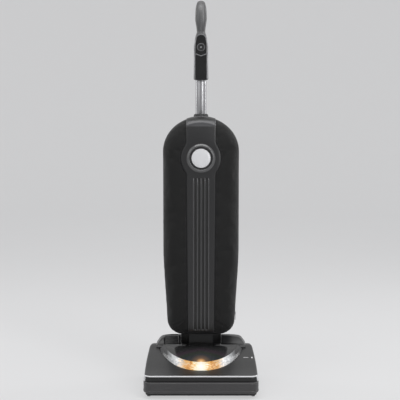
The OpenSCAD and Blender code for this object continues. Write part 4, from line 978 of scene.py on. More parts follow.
class Assembly:
    """A sub-assembly: builds its pieces, dresses them and counts them."""

    def add(self, name: str, mesh: Mesh, body: str, slot: str, nodes: Iterable[str] = ()) -> Object:
        """Makes a piece of a finished mesh.

        Args:
            name: the piece's name.
            mesh: its mesh.
            body: the CAD body that it rides on.
            slot: the material slot of its finish, or a finish of the palette's own.
            nodes: the CAD nodes that it stands for.

        Returns:
            The piece.
        """
        obj = linked(name, mesh)
        mesh.materials.clear()
        mesh.materials.append(FINISHES[slot].material())
        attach(obj, body)
        nodes = tuple(nodes)
        if nodes:
            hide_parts(*nodes)
        LOG.info("%s: %s, %d faces, on %s", type(self).__name__, name, len(mesh.polygons), body)
        return obj

    def solid(self, name: str, shape: Shape, body: str, slot: str, nodes: Iterable[str] = (),
              sharp: float = 38.0) -> Object:
        """Makes a piece of a closed shape."""
        return self.add(name, shape.mesh(name, sharp), body, slot, nodes)

    def skin(self, name: str, shape: Shape, body: str, slot: str, nodes: Iterable[str], wall: float,
             inside: Point, soft: float = 0.0, sharp: float = 38.0, even: bool = True) -> None:
        """Makes a piece of an open outer skin, with a wall behind it.

        Args:
            name: the piece's name.
            shape: the open skin.
            body: the CAD body that it rides on.
            slot: the material slot of its finish, or a finish of the palette's own.
            nodes: the CAD nodes that it stands for.
            wall: the wall's thickness.
            inside: a place behind the skin.
            soft: the width of the bevel on its sharp edges.
            sharp: edges over this angle, in degrees, are left sharp.
            even: whether the wall keeps its thickness at its edges.
        """
        obj = self.add(name, shape.mesh(name, sharp, inside), body, slot, nodes)
        self.thicken(obj, wall, even)
        if soft:
            self.bevel(obj, soft, 50.0)
        settle(obj)

    @staticmethod
    def thicken(obj: Object, wall: float, even: bool = True) -> None:
        """Puts a wall behind an open skin."""
        thick = obj.modifiers.new("wall", "SOLIDIFY")
        thick.thickness, thick.offset, thick.use_even_offset = wall * MM, -1.0, even

    @staticmethod
    def bevel(obj: Object, width: float, angle: float) -> None:
        """Adds a bevel on the edges over an angle, with even shading across the flats.

        Args:
            obj: the piece.
            width: the width of the bevel.
            angle: the angle in degrees.
        """
        cut = obj.modifiers.new("bevel", "BEVEL")
        cut.width, cut.segments, cut.limit_method = width * MM, 2, "ANGLE"
        cut.angle_limit, cut.use_clamp_overlap, cut.harden_normals = radians(angle), True, False
        even = obj.modifiers.new("even", "WEIGHTED_NORMAL")
        even.keep_sharp = True

    def refined(self, node: str, soft: float = 0.35, angle: float = 32.0) -> None:
        """Makes a softer-edged copy of a CAD node and lets it stand for the node.

        Args:
            node: the CAD node.
            soft: the width of the bevel on its edges.
            angle: only edges that turn by more than this, in degrees, are bevelled.
        """
        shape = Shape(frame["nodes"][node].data)
        bm = shape.bm
        bmesh.ops.remove_doubles(bm, verts=bm.verts, dist=4e-6)
        bmesh.ops.dissolve_limit(bm, angle_limit=radians(0.4), verts=bm.verts, edges=bm.edges)
        obj = self.add(node + "_piece", shape.mesh(node, angle), NODE_BODIES[node], NODE_SLOTS[node], [node])
        if soft:
            self.bevel(obj, soft, angle)
            settle(obj)


@dataclass
class BaseForm:
    """Outlines that the pieces of the base share."""

    half: float = 163.4
    nose: float = 10.0
    corner: float = 22.0
    end: float = 262.0
    low: float = 47.0
    pivot_d: float = 228.0
    pivot_h: float = 86.0
    lens_front: float = 54.0
    lens_out: Pair = (130.0, 240.0)
    lens_in: Pair = (112.0, 225.0)
    lens_in_front: float = 75.0
    dome_end: float = 199.0
    top: Profile = curve(
        (10, 65.0), (16, 66.0), (54, 72.0), (120, 88.6), (185, 105.0), (220, 113.0), (246, 110.5), (257, 103.0),
        (262, 90.0))

    def side(self, d: float) -> float:
        """Half width of the hood behind its rounded corners."""
        return self.half - 8.4 * ((d - self.nose - self.corner) / (self.pivot_d - 40)) ** 2

    def crown(self, x: float, d: float) -> float:
        """Height of the hood's upper face."""
        return self.top(d) - 2 * min(1.0, abs(x) / (self.side(max(d, 32.0)) - 9)) ** 2

    def outline(self, gx: float, gd: float, end: float, arc: int = 14, run: int = 18, front: int = 24) -> list[Pair]:
        """Plan line from the right rear, round the front, to the left rear.

        Args:
            gx: how far it is grown at the sides.
            gd: how far it is grown at the front.
            end: the depth of its ends.
            arc: the number of steps round a corner.
            run: the number of steps along a side.
            front: the number of steps across half the front.

        Returns:
            The (x, depth) points.
        """
        c = (self.half - self.corner, self.nose + self.corner)
        line = [(self.side(d) + gx, d) for d in steps(end, c[1], run)[:-1]]
        for i in range(arc + 1):
            a = pi / 2 * (1 - i / arc)
            line.append((c[0] + (self.corner + gx) * sin(a), c[1] - (self.corner + gd) * cos(a)))
        return both_sides(line + [(x, self.nose - gd) for x in steps(c[0], 0.0, front)[1:]])

    def ellipse(self, half: float, d: float, front: float, turn: float) -> Pair:
        """A point of one of the lens's plan ellipses, by degrees from its front."""
        a = radians(turn)
        return half * sin(a), d - (d - front) * cos(a)

    def lens_low(self, u: float) -> Point:
        """A point of the lens's lower edge, from -1 at its left tip to 1."""
        x, d = self.ellipse(*self.lens_out, self.lens_front, u * 72.8)
        return x, d, self.crown(x, d)

    def dome_edge(self, d: float) -> float:
        """Height of the dome's rim."""
        return mix(91.5, 117.0, (d - self.lens_in_front) / (self.pivot_d - 31 - self.lens_in_front))

    def dome_crown(self, d: float) -> float:
        """Height of the dome along its middle."""
        t = min(1.0, (d - self.lens_in_front) / (self.pivot_d - 38 - self.lens_in_front))
        return mix(91.5, 121.0, sin(pi / 2 * t))

    def lens_high(self, u: float) -> Point:
        """A point of the lens's upper edge, from -1 at its left tip to 1."""
        x, d = self.ellipse(*self.lens_in, self.lens_in_front, u * 79.2)
        return x, d, self.dome_edge(d)


FORM = BaseForm()


@dataclass
class Hood(Assembly):
    """The sloping top cover with its two pivot blocks."""

    wall: float = 3.0
    edge_front: float = 4.5
    edge_side: float = 9.0
    gap: float = 0.3
    block_r: float = 54.0
    wheel: Point = (259.0, 31.0, 34.0)
    wheel_x: Pair = (102.0, 138.0)
    pedal_x: Pair = (69.3, 109.5)
    pedal_end: float = 247.0
    pedal_low: float = 109.0
    block_top: Profile = curve(
        (61.7, 139.9), (80, 139.5), (100, 136.8), (115, 133.2), (122, 128.5), (129, 119.5), (134.6, 111.5))

    def inner_line(self, outer: list[Pair]) -> list[Pair]:
        """For each point of the outer plan line, the point of the opening that faces it.

        Args:
            outer: the outer plan line.

        Returns:
            The points, one for each of the outer line.
        """
        tip = 76.0
        line = [FORM.ellipse(FORM.lens_out[0] + self.gap, FORM.lens_out[1], FORM.lens_front - self.gap, a)
                for a in steps(-tip, tip, 608)]
        found = []
        for x, d in outer:
            near = min(line, key=lambda p: (p[0] - x) ** 2 + (p[1] - d) ** 2)
            if d > 191:
                t = ease((d - 191) / 8)
                near = (copysign(mix(abs(near[0]), 123.0, t), x), mix(near[1], max(d, 195.5), t))
            found.append(near)
        return found

    def band_row(self, outer: Pair, inner: Pair) -> Row:
        """One closed section of the hood, from its skirt over the top to the opening's lip.

        Args:
            outer: the plan point at the skirt.
            inner: the plan point at the opening's lip.

        Returns:
            The section.
        """
        length = dist(outer, inner)
        r = mix(self.edge_front, self.edge_side, ease((outer[1] - 14) / 40))

        def at(e: float) -> Pair:
            """The plan point a distance in from the edge."""
            return mix_pair(outer, inner, e / length)

        def height(e: float, down: float = 0.0) -> float:
            """Height of the upper face a distance in from the edge.

            Args:
                e: the distance in from the edge.
                down: how far below the face.

            Returns:
                The height.
            """
            x, d = at(max(e, r * 0.5))
            drop = r - sqrt(max(0.0, r * r - max(0.0, r - e) ** 2))
            return FORM.crown(x, d) - drop - down

        z_edge = height(0.0)
        rise = (FORM.low + 1.2, mix(FORM.low, z_edge, 0.35), mix(FORM.low, z_edge, 0.7), z_edge)
        row = [(*at(0.5), FORM.low), *((*at(0.0), z) for z in rise)]
        bend = [r * (1 - cos(a)) for a in steps(0.0, pi / 2, 8)[1:]]
        row += [(*at(e), height(e)) for e in [*bend, *steps(r, length - 1.6, 16)[1:]]]
        row += [(*at(length - 0.7), height(length - 0.7, 0.12)), (*at(length - 0.15), height(length, 0.5)),
                (*at(length), height(length, 1.1)), (*at(length), height(length, self.wall))]
        row += [(*at(e), height(max(e - self.wall * 0.5, 0), self.wall)) for e in steps(length - 1.5, self.wall + 2, 4)]
        return row + [(*at(self.wall), z_edge - 4), (*at(self.wall), FORM.low)]

    def body(self) -> None:
        """Builds the hood's band."""
        outer = FORM.outline(0.0, 0.0, FORM.end, arc=18, run=34, front=30)
        shape = Shape().closed([self.band_row(o, i) for o, i in zip(outer, self.inner_line(outer))])
        self.solid("hood_body", shape, "base", "hood_grey", ["hood"], sharp=44)

    def block_profile(self) -> list[Pair]:
        """Depth-height line over a pivot block, from its front foot to its rear foot.

        Returns:
            The (depth, height) points.
        """
        pd, ph, r = FORM.pivot_d, FORM.pivot_h, self.block_r
        arc = [(pd + r * cos(radians(a)), ph + r * sin(radians(a))) for a in steps(90, -20, 22)]
        slope = round_corners([(pd - 35.4, 85), (pd - 34.4, 113), (pd - 12, 135.5), (pd, ph + r)], 3)
        end = acos((self.pedal_end - pd) / r)
        front = [(pd - 36, 47), (pd - 35.6, 70), (pd - 34.8, self.pedal_low)]
        line = [*front, *(p for p in slope if p[1] > self.pedal_low + 1), *arc[1:], (pd + 51, 58.5), (pd + 51, 47)]
        line.append((pd + r * cos(end), ph + r * sin(end)))
        behind = [p for p in line if p[0] > pd]
        rear = sorted((p for p in behind if p[1] > 67), key=lambda p: -atan2(p[1] - ph, p[0] - pd))
        return [p for p in line if p[0] <= pd] + rear + [p for p in behind if p[1] <= 67]

    def block(self, left: bool) -> None:
        """Builds one raised block, the left one open for the pedal.

        Args:
            left: whether it is the left one.
        """
        line = self.block_profile()
        rounding = {61.7: 1.9, 61.9: 1.1, 62.5: 0.45, 63.6: 0.1}
        rows: list[Row] = []
        for x in (*rounding, 66.0, self.pedal_x[0], *steps(73.7, 97, 5), 102.0, self.pedal_x[1],
                  113, 116, 119, 122, 125, 128, 131, 133.4, 134.6):
            row = []
            cut = rounding.get(x, 0.0)
            for (d, z), (along, up) in zip(line, headings(line)):
                d, z = d + up * cut, z - along * cut
                roof = self.block_top(x) - 4.5 * ease((d - FORM.pivot_d - 25) / 40) * ease((x - 110) / 20)
                over = z - roof
                z = z if over < -3 else roof - 3 * exp(-(over + 3) / 3) if over < 12 else roof
                row.append((x, d, z))
            rows.append(row)
        wd, wz, wr = self.wheel

        def foot(d: float, x: float) -> float:
            """Height of a side wall's lower edge."""
            arch = wz + sqrt(max(0.0, wr * wr - (d - wd) ** 2))
            return max(FORM.low, arch) if x > self.wheel_x[0] and abs(d - wd) < wr else FORM.low

        inner = [(x, min(max(d, 192.2), 278.5), FORM.low) for x, d, z in rows[0]]
        outer = [(x, min(d, 279.0), min(foot(d, x), z)) for x, d, z in rows[-1]]
        rows = [inner, *rows, outer]
        low_row = len(line) - 2

        def keep(i: int, j: int) -> bool:
            """Whether a face of the block's skin is there.

            Args:
                i: the face's row.
                j: the face's column.

            Returns:
                Whether it is there.
            """
            x = (rows[i][j][0] + rows[i + 1][j][0]) / 2
            if x > self.wheel_x[0] and j >= low_row:
                return False
            if not left or not self.pedal_x[0] < x < self.pedal_x[1]:
                return True
            d, z = mix_pair(line[j], line[j + 1], 0.5)
            return z < self.pedal_low or d > self.pedal_end or d > 240 and z < 120

        shape = Shape().grid(rows, keep=keep)
        if left:
            shape.flip()
        self.skin("pivot_block_" + ("left" if left else "right"), shape, "base", "hood_grey", ["hood"], 2.6,
                  (-98 if left else 98, FORM.pivot_d, 90), sharp=50, even=False)

    def marks(self) -> None:
        """The small printed dash and dot on the right of the hood."""
        shape = Shape()
        for x0, x1, d0, d1 in ((125.3, 140.1, 133.2, 135.4), (148.2, 153.0, 130.6, 138.0)):
            power = 1.0 if d1 - d0 > 3 else 0.35
            rim = [(mix(x0, x1, 0.5) + (x1 - x0) / 2 * signed_power(cos(a), power),
                    mix(d0, d1, 0.5) + (d1 - d0) / 2 * signed_power(sin(a), power)) for a in turns(24)]
            shape.closed([[(x, d, FORM.crown(x, d) + h) for x, d in rim] for h in (-0.3, 0.12)])
        self.solid("hood_marks", shape, "base", "silver_trim", sharp=60)

    def build(self) -> None:
        """Builds the hood."""
        self.body()
        self.block(True)
        self.block(False)
        self.marks()


@dataclass
class Headlamp(Assembly):
    """The glossy dome, the crescent lens and the lamp behind it."""

    lens_wall: float = 2.4
    bulge: float = 2.4

    def dome(self) -> None:
        """Builds the motor cover."""
        rim = degrees(acos((FORM.lens_in[1] - FORM.dome_end) / (FORM.lens_in[1] - FORM.lens_in_front)))
        rows = []
        for a in steps(4, rim, 44):
            x, d = FORM.ellipse(FORM.lens_in[0] - 0.3, FORM.lens_in[1], FORM.lens_in_front + 0.3, a)
            rows.append([(x * sin(b), d, mix(FORM.dome_edge(d), FORM.dome_crown(d), max(0.0, cos(b)) ** 1.5))
                         for b in steps(-pi / 2, pi / 2, 48)])
        self.skin("dome_shell", Shape().grid(rows), "base", "gloss_black", ["motor_cover"], 2.4, (0, 150, 60), soft=0.5)

    def lens(self) -> None:
        """Builds the crescent lens."""
        rows = []
        for u in steps(1, -1, 112):
            low, high = Vector(FORM.lens_low(u)), Vector(FORM.lens_high(u))
            a = radians(u * 76)
            out = Vector((sin(a) * 0.66, -cos(a) * 0.66, 0.75))
            shares = steps(0, 1, 12)
            skin = [low.lerp(high, v) + out * self.bulge * sin(pi * v) for v in shares]
            back = [p - self.lens_wall * Vector((out.x * (1 - v), out.y * (1 - v), out.z))
                    for p, v in zip(skin, shares)]
            rows.append([tuple(p) for p in [*skin, *back[::-2]]])
        self.solid("crescent_lens", Shape().closed(rows), "base", "clear_lens", ["lens"], sharp=50)

    def lamp(self) -> None:
        """Builds the bulb and dresses what holds it."""
        shape = Shape().turned(Axis.DEPTH, (0, 74, 73), [
            (0, -7.0), (2.4, -6.6), (4.6, -5.2), (6.2, -3.2), (7.0, -0.6), (6.9, 1.2), (5.8, 3.6), (4.5, 5.2),
            (4.2, 6.4), (4.2, 9.0), (0, 9.0)], 40)
        self.solid("lamp_bulb_glass", shape, "base", "bulb_glass", ["lamp_bulb"])
        self.refined("lamp_holder")
        self.refined("reflector", soft=0.2, angle=40)

    def build(self) -> None:
        """Builds the headlamp."""
        self.dome()
        self.lens()
        self.lamp()


@dataclass
class Bumper(Assembly):
    """The wrap-round bumper and the silver line over it."""

    end: float = 222.0

    def band(self) -> None:
        """Builds the bumper."""
        face = [(17.0, 3.4), (17.3, 2.5), (18.2, 1.4), (19.6, 0.5), (21, 0.1), (22.4, 0.05), (23.4, 0.35), (24.0, 0.85),
                (25.0, 1.0), (29, 0.9), (35, 0.85), (40, 0.85), (43.5, 0.7), (45.6, 0.8), (47.3, 1.3), (48.4, 2.2),
                (48.8, 3.4)]
        back = [(48.8, 5.2), (48.2, 6.0), (46.4, 6.3), (40, 6.3), (28, 6.3), (17.0, 6.3)]
        lines = [[(*p, z) for p in FORM.outline(2.6 - cut, 10 - cut, self.end)] for z, cut in face]
        deep = [[(*p, z) for p in FORM.outline(-3.7, -3.7, self.end)] for z, _ in back]
        shape = Shape().closed([list(row) for row in zip(*(lines + deep))])
        self.solid("bumper_band", shape, "base", "bumper_grey", ["bumper"], sharp=50)

    def trim(self) -> None:
        """Builds the silver line, its ends turned down at the corners."""
        outer, inner = (FORM.outline(gx, gd, 34.0, arc=30, run=2, front=30) for gx, gd in ((1.2, 1.5), (-2.0, -2.5)))
        rows = []
        for o, i in zip(outer, inner):
            low = mix(63.1, 49.4, ease((o[1] - 16.5) / 3.0))
            high = 66.8 - 2.6 * ease((o[1] - 27.5) / 5.5)
            rows.append([(*mix_pair(o, i, t), z) for t, z in (
                (0.28, low), (0.1, low + 0.25), (0, low + 0.8), (0, high - 1.1), (0.08, high - 0.45), (0.3, high),
                (0.8, high), (1, high - 0.7), (1, low))])
        self.solid("trim_line", Shape().closed(rows), "base", "silver_trim", ["trim_strip"], sharp=60)

    def build(self) -> None:
        """Builds the bumper and its trim."""
        self.band()
        self.trim()


@dataclass
class BrushRoll(Assembly):
    """The turned roll, its bristle tufts and its end bearings."""

    d: float = 48.0
    z: float = 30.0
    core: float = 17.0
    tip: float = 26.4
    half: float = 131.5
    belt: float = 85.0
    seed: int = 7

    def roll(self) -> None:
        """Builds the wooden roll with its belt groove and steel ends."""
        h, b = self.half, self.belt
        shape = Shape().turned(Axis.WIDTH, (0, self.d, self.z), [
            (0, -h - 6), (3.6, -h - 6), (4.0, -h - 5.6), (4.0, -h), (15.6, -h), (17.0, -h + 1.4), (17.0, b - 7.2),
            (16.6, b - 6.5), (15.0, b - 6.5), (15.0, b + 6.5), (16.6, b + 6.5), (17.0, b + 7.2), (17.0, h - 1.4),
            (15.6, h), (4.0, h), (4.0, h + 5.6), (3.6, h + 6), (0, h + 6)], 64)
        self.solid("brush_roll", shape, "brush", "brush_wood", ["brush_core"])

    def tufts(self) -> None:
        """Builds two helical rows of bristle tufts that leave room for the guard bars and the belt."""
        dice = random.Random(self.seed)
        shape = Shape()
        gaps = [(g - 4.6, g + 4.6) for g in (-105, -35, 35, 105)] + [(self.belt - 10.6, self.belt + 10.6)]
        x = -self.half + 4.5
        while x < self.half - 4:
            if not any(a < x < b for a, b in gaps):
                for side in (0.0, 180.0):
                    turn = radians(side - x * 0.8)
                    for _ in range(16):
                        self.bristle(shape, x + dice.uniform(-1.1, 1.1), turn + dice.uniform(-0.07, 0.07), dice)
            x += 4.4
        self.solid("brush_tufts", shape, "brush", "bristle_nylon", ["brush_bristles"], sharp=80)

    def bristle(self, shape: Shape, x: float, turn: float, dice: random.Random) -> None:
        """Adds one tapered bristle.

        Args:
            shape: the tufts.
            x: its place across.
            turn: its angle round the roll, in radians.
            dice: the source of chance.
        """
        splay, lean = dice.uniform(-1.3, 1.3), dice.uniform(-0.05, 0.05)
        rows = []
        for r, w, share in ((self.core - 0.8, 0.34, 0.0), (self.tip - 3, 0.28, 0.6),
                            (self.tip - dice.uniform(0, 0.8), 0.14, 1.0)):
            a = turn + lean * share
            rows.append([(x + splay * share + w * cos(t), self.d + r * cos(a) - w * sin(t) * sin(a),
                          self.z + r * sin(a) + w * sin(t) * cos(a)) for t in (0.0, 2.1, 4.2)])
        shape.closed(rows)

    def build(self) -> None:
        """Builds the brush roll."""
        self.roll()
        self.tufts()
        self.refined("brush_bearings")


@dataclass
class DriveTrain(Assembly):
    """Motor, fan, belt and ducts inside the base."""

    motor: Pair = (150.0, 58.0)
    belt_x: float = 85.0

    def belt(self) -> None:
        """Builds the belt with its moulded edges."""
        a, b = self.motor, (48.0, 30.0)
        run = atan2(a[1] - b[1], a[0] - b[0])
        touch = acos((15 - 7) / dist(a, b))
        line = [(a[0], a[1], 7, t) for t in steps(run - touch, run + touch, 16)]
        line += [(b[0], b[1], 15, t) for t in steps(run + touch, run - touch + 2 * pi, 28)]
        half = [(0.3, 4.1), (0.5, 4.5), (2.0, 4.5), (2.3, 4.2), (2.3, 1.2), (2.0, 0.9)]
        section = [*((h, -o) for h, o in half), *half[::-1]]
        rows = [[(self.belt_x + o, d + (r + h) * cos(t), z + (r + h) * sin(t)) for h, o in section]
                for d, z, r, t in line]
        shape = Shape().grid(rows, ring=True, loop=True)
        self.solid("drive_belt_loop", shape, "base", "belt_rubber", ["drive_belt"])

    def build(self) -> None:
        """Builds the drive train."""
        self.belt()
        for node in ("motor_case", "motor_shaft", "fan_wheel", "fan_case", "intake_duct"):
            self.refined(node)


@dataclass
class RunningGear(Assembly):
    """Wheels, rollers and their axles."""

    d: float = 259.0
    r: float = 31.0
    w: float = 22.0
    x: float = 120.0

    def wheel(self, side: str) -> None:
        """Builds one rear wheel: a tyre with fine grooves and a dished hub.

        Args:
            side: left or right.
        """
        x = -self.x if side == "left" else self.x
        h, r = self.w / 2, self.r
        tyre = [(r - 9.0, -h + 1), (r - 2.4, -h + 1), (r - 1.2, -h + 1.5), (r - 0.3, -h + 2.8), (r, -h + 4)]
        for g in (-5.0, 0.0, 5.0):
            tyre += [(r, g - 0.9), (r - 0.9, g - 0.5), (r - 0.9, g + 0.5), (r, g + 0.9)]
        tyre += [(p, -o) for p, o in tyre[4::-1]] + [(r - 9.0, -h + 1)]
        body, place = "wheel_" + side, (x, self.d, r)
        shape = Shape().turned(Axis.WIDTH, place, tyre)
        self.solid(f"rear_tyre_{side}_piece", shape, body, "wheel_rubber", ["rear_tyre_" + side], sharp=50)
        hub = [(4.05, -h), (8.4, -h), (9.2, -h + 0.8), (10, -h + 5), (r - 12.6, -h + 5), (r - 11.4, -h + 1.6),
               (r - 10.6, -h + 1), (r - 9.05, -h + 1)]
        shape = Shape().turned(Axis.WIDTH, place, [*hub, *((p, -o) for p, o in hub[::-1]), hub[0]])
        for k in range(6):
            a = pi / 3 * k
            for face in (-1, 1):
                shape.tube([spot(x + face * (h - 5.4), self.d + q * cos(a), r + q * sin(a))
                            for q in (9.6, 14.0, 18.6)], 1.5, 8)
        self.solid(f"rear_hub_{side}_piece", shape, body, "black_plastic", ["rear_hub_" + side], sharp=40)

    def build(self) -> None:
        """Builds the running gear."""
        for side in ("left", "right"):
            self.wheel(side)
            self.refined("front_roller_" + side, 0.25, 40)
        for node in ("wheel_axles", "roller_axles"):
            self.refined(node, 0.3, 60)


@dataclass
class Undercarriage(Assembly):
    """Chassis, sole plate, screws, pivot and release pedal."""

    apron_half: float = 61.4

    def apron(self) -> None:
        """Builds the apron that hangs behind the neck and closes the well: a dark sheet put where the well lies in
        shade, as painted shade.
        """
        rows = []
        for t in steps(0, 1, 12):
            half = self.apron_half - 3.0 * ease((t - 0.93) / 0.07)
            rows.append([(x, 252.0 - 4.0 * t * t, mix(155.2, 103.5, t)) for x in steps(-half, half, 24)])
        shape = Shape().grid(rows)
        for k in (-2, -1, 1, 2):
            shape.grid([[(k * 19.0 + u, mix(250.4, 246.6, t * t), mix(152, 106, t)) for u in (-0.8, 0.8)]
                        for t in steps(0, 1, 8)])
        # A dark sheet where the well is in shade: painted shade.
        self.skin("well_apron", shape, "upright", "shell_black", [], 2.0, (0, 400, 130), soft=0.4, sharp=50)

    def build(self) -> None:
        """Builds the lower mouldings and the pivot."""
        for node in ("chassis", "nose_rail", "neck_duct", "pivot_bushes"):
            self.refined(node, 0.5)
        self.refined("sole_plate", 0.0)
        for node in ("sole_screws", "pedal_pin"):
            self.refined(node, 0.25, 50)
        self.refined("pedal_spring", 0.0, 60)
        self.refined("release_pedal", 0.5, 30)
        self.apron()


@dataclass
class HouseForm:
    """Outlines that the pieces of the bag housing share."""

    foot: float = 99.5
    half: float = 111.0
    low: float = 155.0
    corner: float = 45.0
    taper: float = 419.0
    arch: float = 699.0
    rise: float = 100.0
    pan: float = 163.3
    foot_steps: int = 6
    part: float = 200.0
    bend: float = 168.0
    edge: float = 34.0
    turn: float = radians(62)
    middle: float = 82.0
    rear_bend: float = 236.0
    rear_edge: float = 30.0
    inside: Point = (0, 205, 450)
    plate_z: float = 681.0
    plate_r: float = 58.3
    face_d: float = 123.5

    def right(self, s: float) -> list[Pair]:
        """The right half of the outline, from the middle of its foot to the middle of its arch.

        Args:
            s: how far it is inset.

        Returns:
            The (x, z) points.
        """
        r = max(self.corner - s, 6.0)
        foot, z0, side = self.foot - s, self.low + s, self.half - s
        line = [(x, z0) for x in steps(0.0, foot - r, self.foot_steps)[:-1]]
        line += [(foot - r + r * sin(a), z0 + r - r * cos(a)) for a in steps(0.0, pi / 2, 10)]
        for t in steps(0.0, 1.0, 26)[1:]:
            back = 1 - t
            share = back - 0.15 if back > 0.3 else back * back / 0.6
            line.append((side - (side - foot) * share / 0.85, mix(z0 + r, self.taper, t)))
        line += [(side, z) for z in steps(self.taper, self.arch, 30)[1:]]
        return line + [(side * cos(a), self.arch + (self.rise - s) * sin(a))
                       for a in steps(0.0, pi / 2, 36)[1:]]

    def ring(self, s: float, d: float) -> Row:
        """The whole outline at a depth, inset by s."""
        half = self.right(s)
        return [(x, d, z) for x, z in half] + [(-x, d, z) for x, z in half[-2:0:-1]]

    def bent(self, a: float, g: float) -> Pair:
        """Inset and depth at an angle round the bend of the front, grown by g."""
        r = self.edge + g
        return r * (1 - cos(a)) - g, self.bend - r * sin(a)

    def front_depth(self, s: float, g: float) -> float:
        """Depth of the front, grown by g, at an inset.

        Args:
            s: the inset from the outline.
            g: how far the front is grown.

        Returns:
            The depth.
        """
        r = self.edge + g
        start = [self.bent(a, g) for a in (self.turn - 0.02, self.turn)]
        if s < start[1][0]:
            return self.bend - sqrt(max(0.0, r * r - (r - s - g) ** 2))
        face = Profile([*start, (34, 133.4 - g), (50, 129.9 - g), (66, 127.7 - g), (self.middle, 127.5 - g)])
        return face(min(s, self.middle))

    def front(self) -> list[Pair]:
        """(inset, depth) points of the front, from its rim to its middle."""
        bend = [self.bent(a, 0.0) for a in steps(0.0, self.turn, 9)]
        return bend + [(s, self.front_depth(s, 0.0)) for s in steps(bend[-1][0], self.middle, 13)[1:]]

    def rear(self) -> list[Pair]:
        """(inset, depth) points of the back, from its rim to its middle.

        Returns:
            The points.
        """
        r = self.rear_edge
        bend = [(r * (1 - cos(a)), self.rear_bend + r * sin(a)) for a in steps(0.0, radians(66), 9)]
        face = Profile([*bend[-2:], (30, 266.6), (45, 269.0), (60, 270.0), (self.middle, 270.0)])
        return bend + [(s, face(s)) for s in steps(bend[-1][0], self.middle, 12)[1:]]

    def inset(self, x: float, z: float) -> float:
        """How far a point seen from the front lies inside the outline.

        Args:
            x: the width.
            z: the height.

        Returns:
            The inset, below 0 outside the outline.
        """
        if z < self.arch:
            return min(z - self.low, self.half - abs(x))
        low, high = -8.0, 99.0
        for _ in range(30):
            s = (low + high) / 2
            w = self.half - s
            inside = w > abs(x) and (x / w) ** 2 + ((z - self.arch) / (self.rise - s)) ** 2 < 1
            low, high = (s, high) if inside else (low, s)
        return low

    def strip_half(self, z: float) -> float:
        """Half width of the strip with its round plate.

        Args:
            z: the height.

        Returns:
            The half width.
        """
        a = mix(38.5, 43.7, (z - 165) / 654)
        b = sqrt(max(0.0, self.plate_r ** 2 - (z - self.plate_z) ** 2))
        near = max(0.0, 1 - abs(a - b) / 9.0)
        return max(a, b) + near * near * 9.0 / 4

    def hull(self, rings: Sequence[Pair], floor: float) -> Shape:
        """Lays an open skin through (inset, depth) rings, over the height where the pan takes its place.

        Args:
            rings: the rings, from the rim to the middle.
            floor: the height that the skin ends at.

        Returns:
            The skin.
        """
        rows = [[(x, d, max(z, floor)) for x, d, z in self.ring(s, d)] for s, d in rings]
        count = len(rows[0])

        def keep(i: int, j: int) -> bool:
            """Whether a face lies over the pan."""
            return max(rows[a][b % count][2] for a in (i, i + 1) for b in (j, j + 1)) > floor + 1e-6
        shape = Shape().grid(rows, ring=True, keep=keep)
        s, d = rings[-1]
        across = steps(1, -1, 2 * self.foot_steps)
        return shape.grid([[(x * t, d, z) for t in across] for x, z in self.right(s)[self.foot_steps:]])


HOUSE = HouseForm()


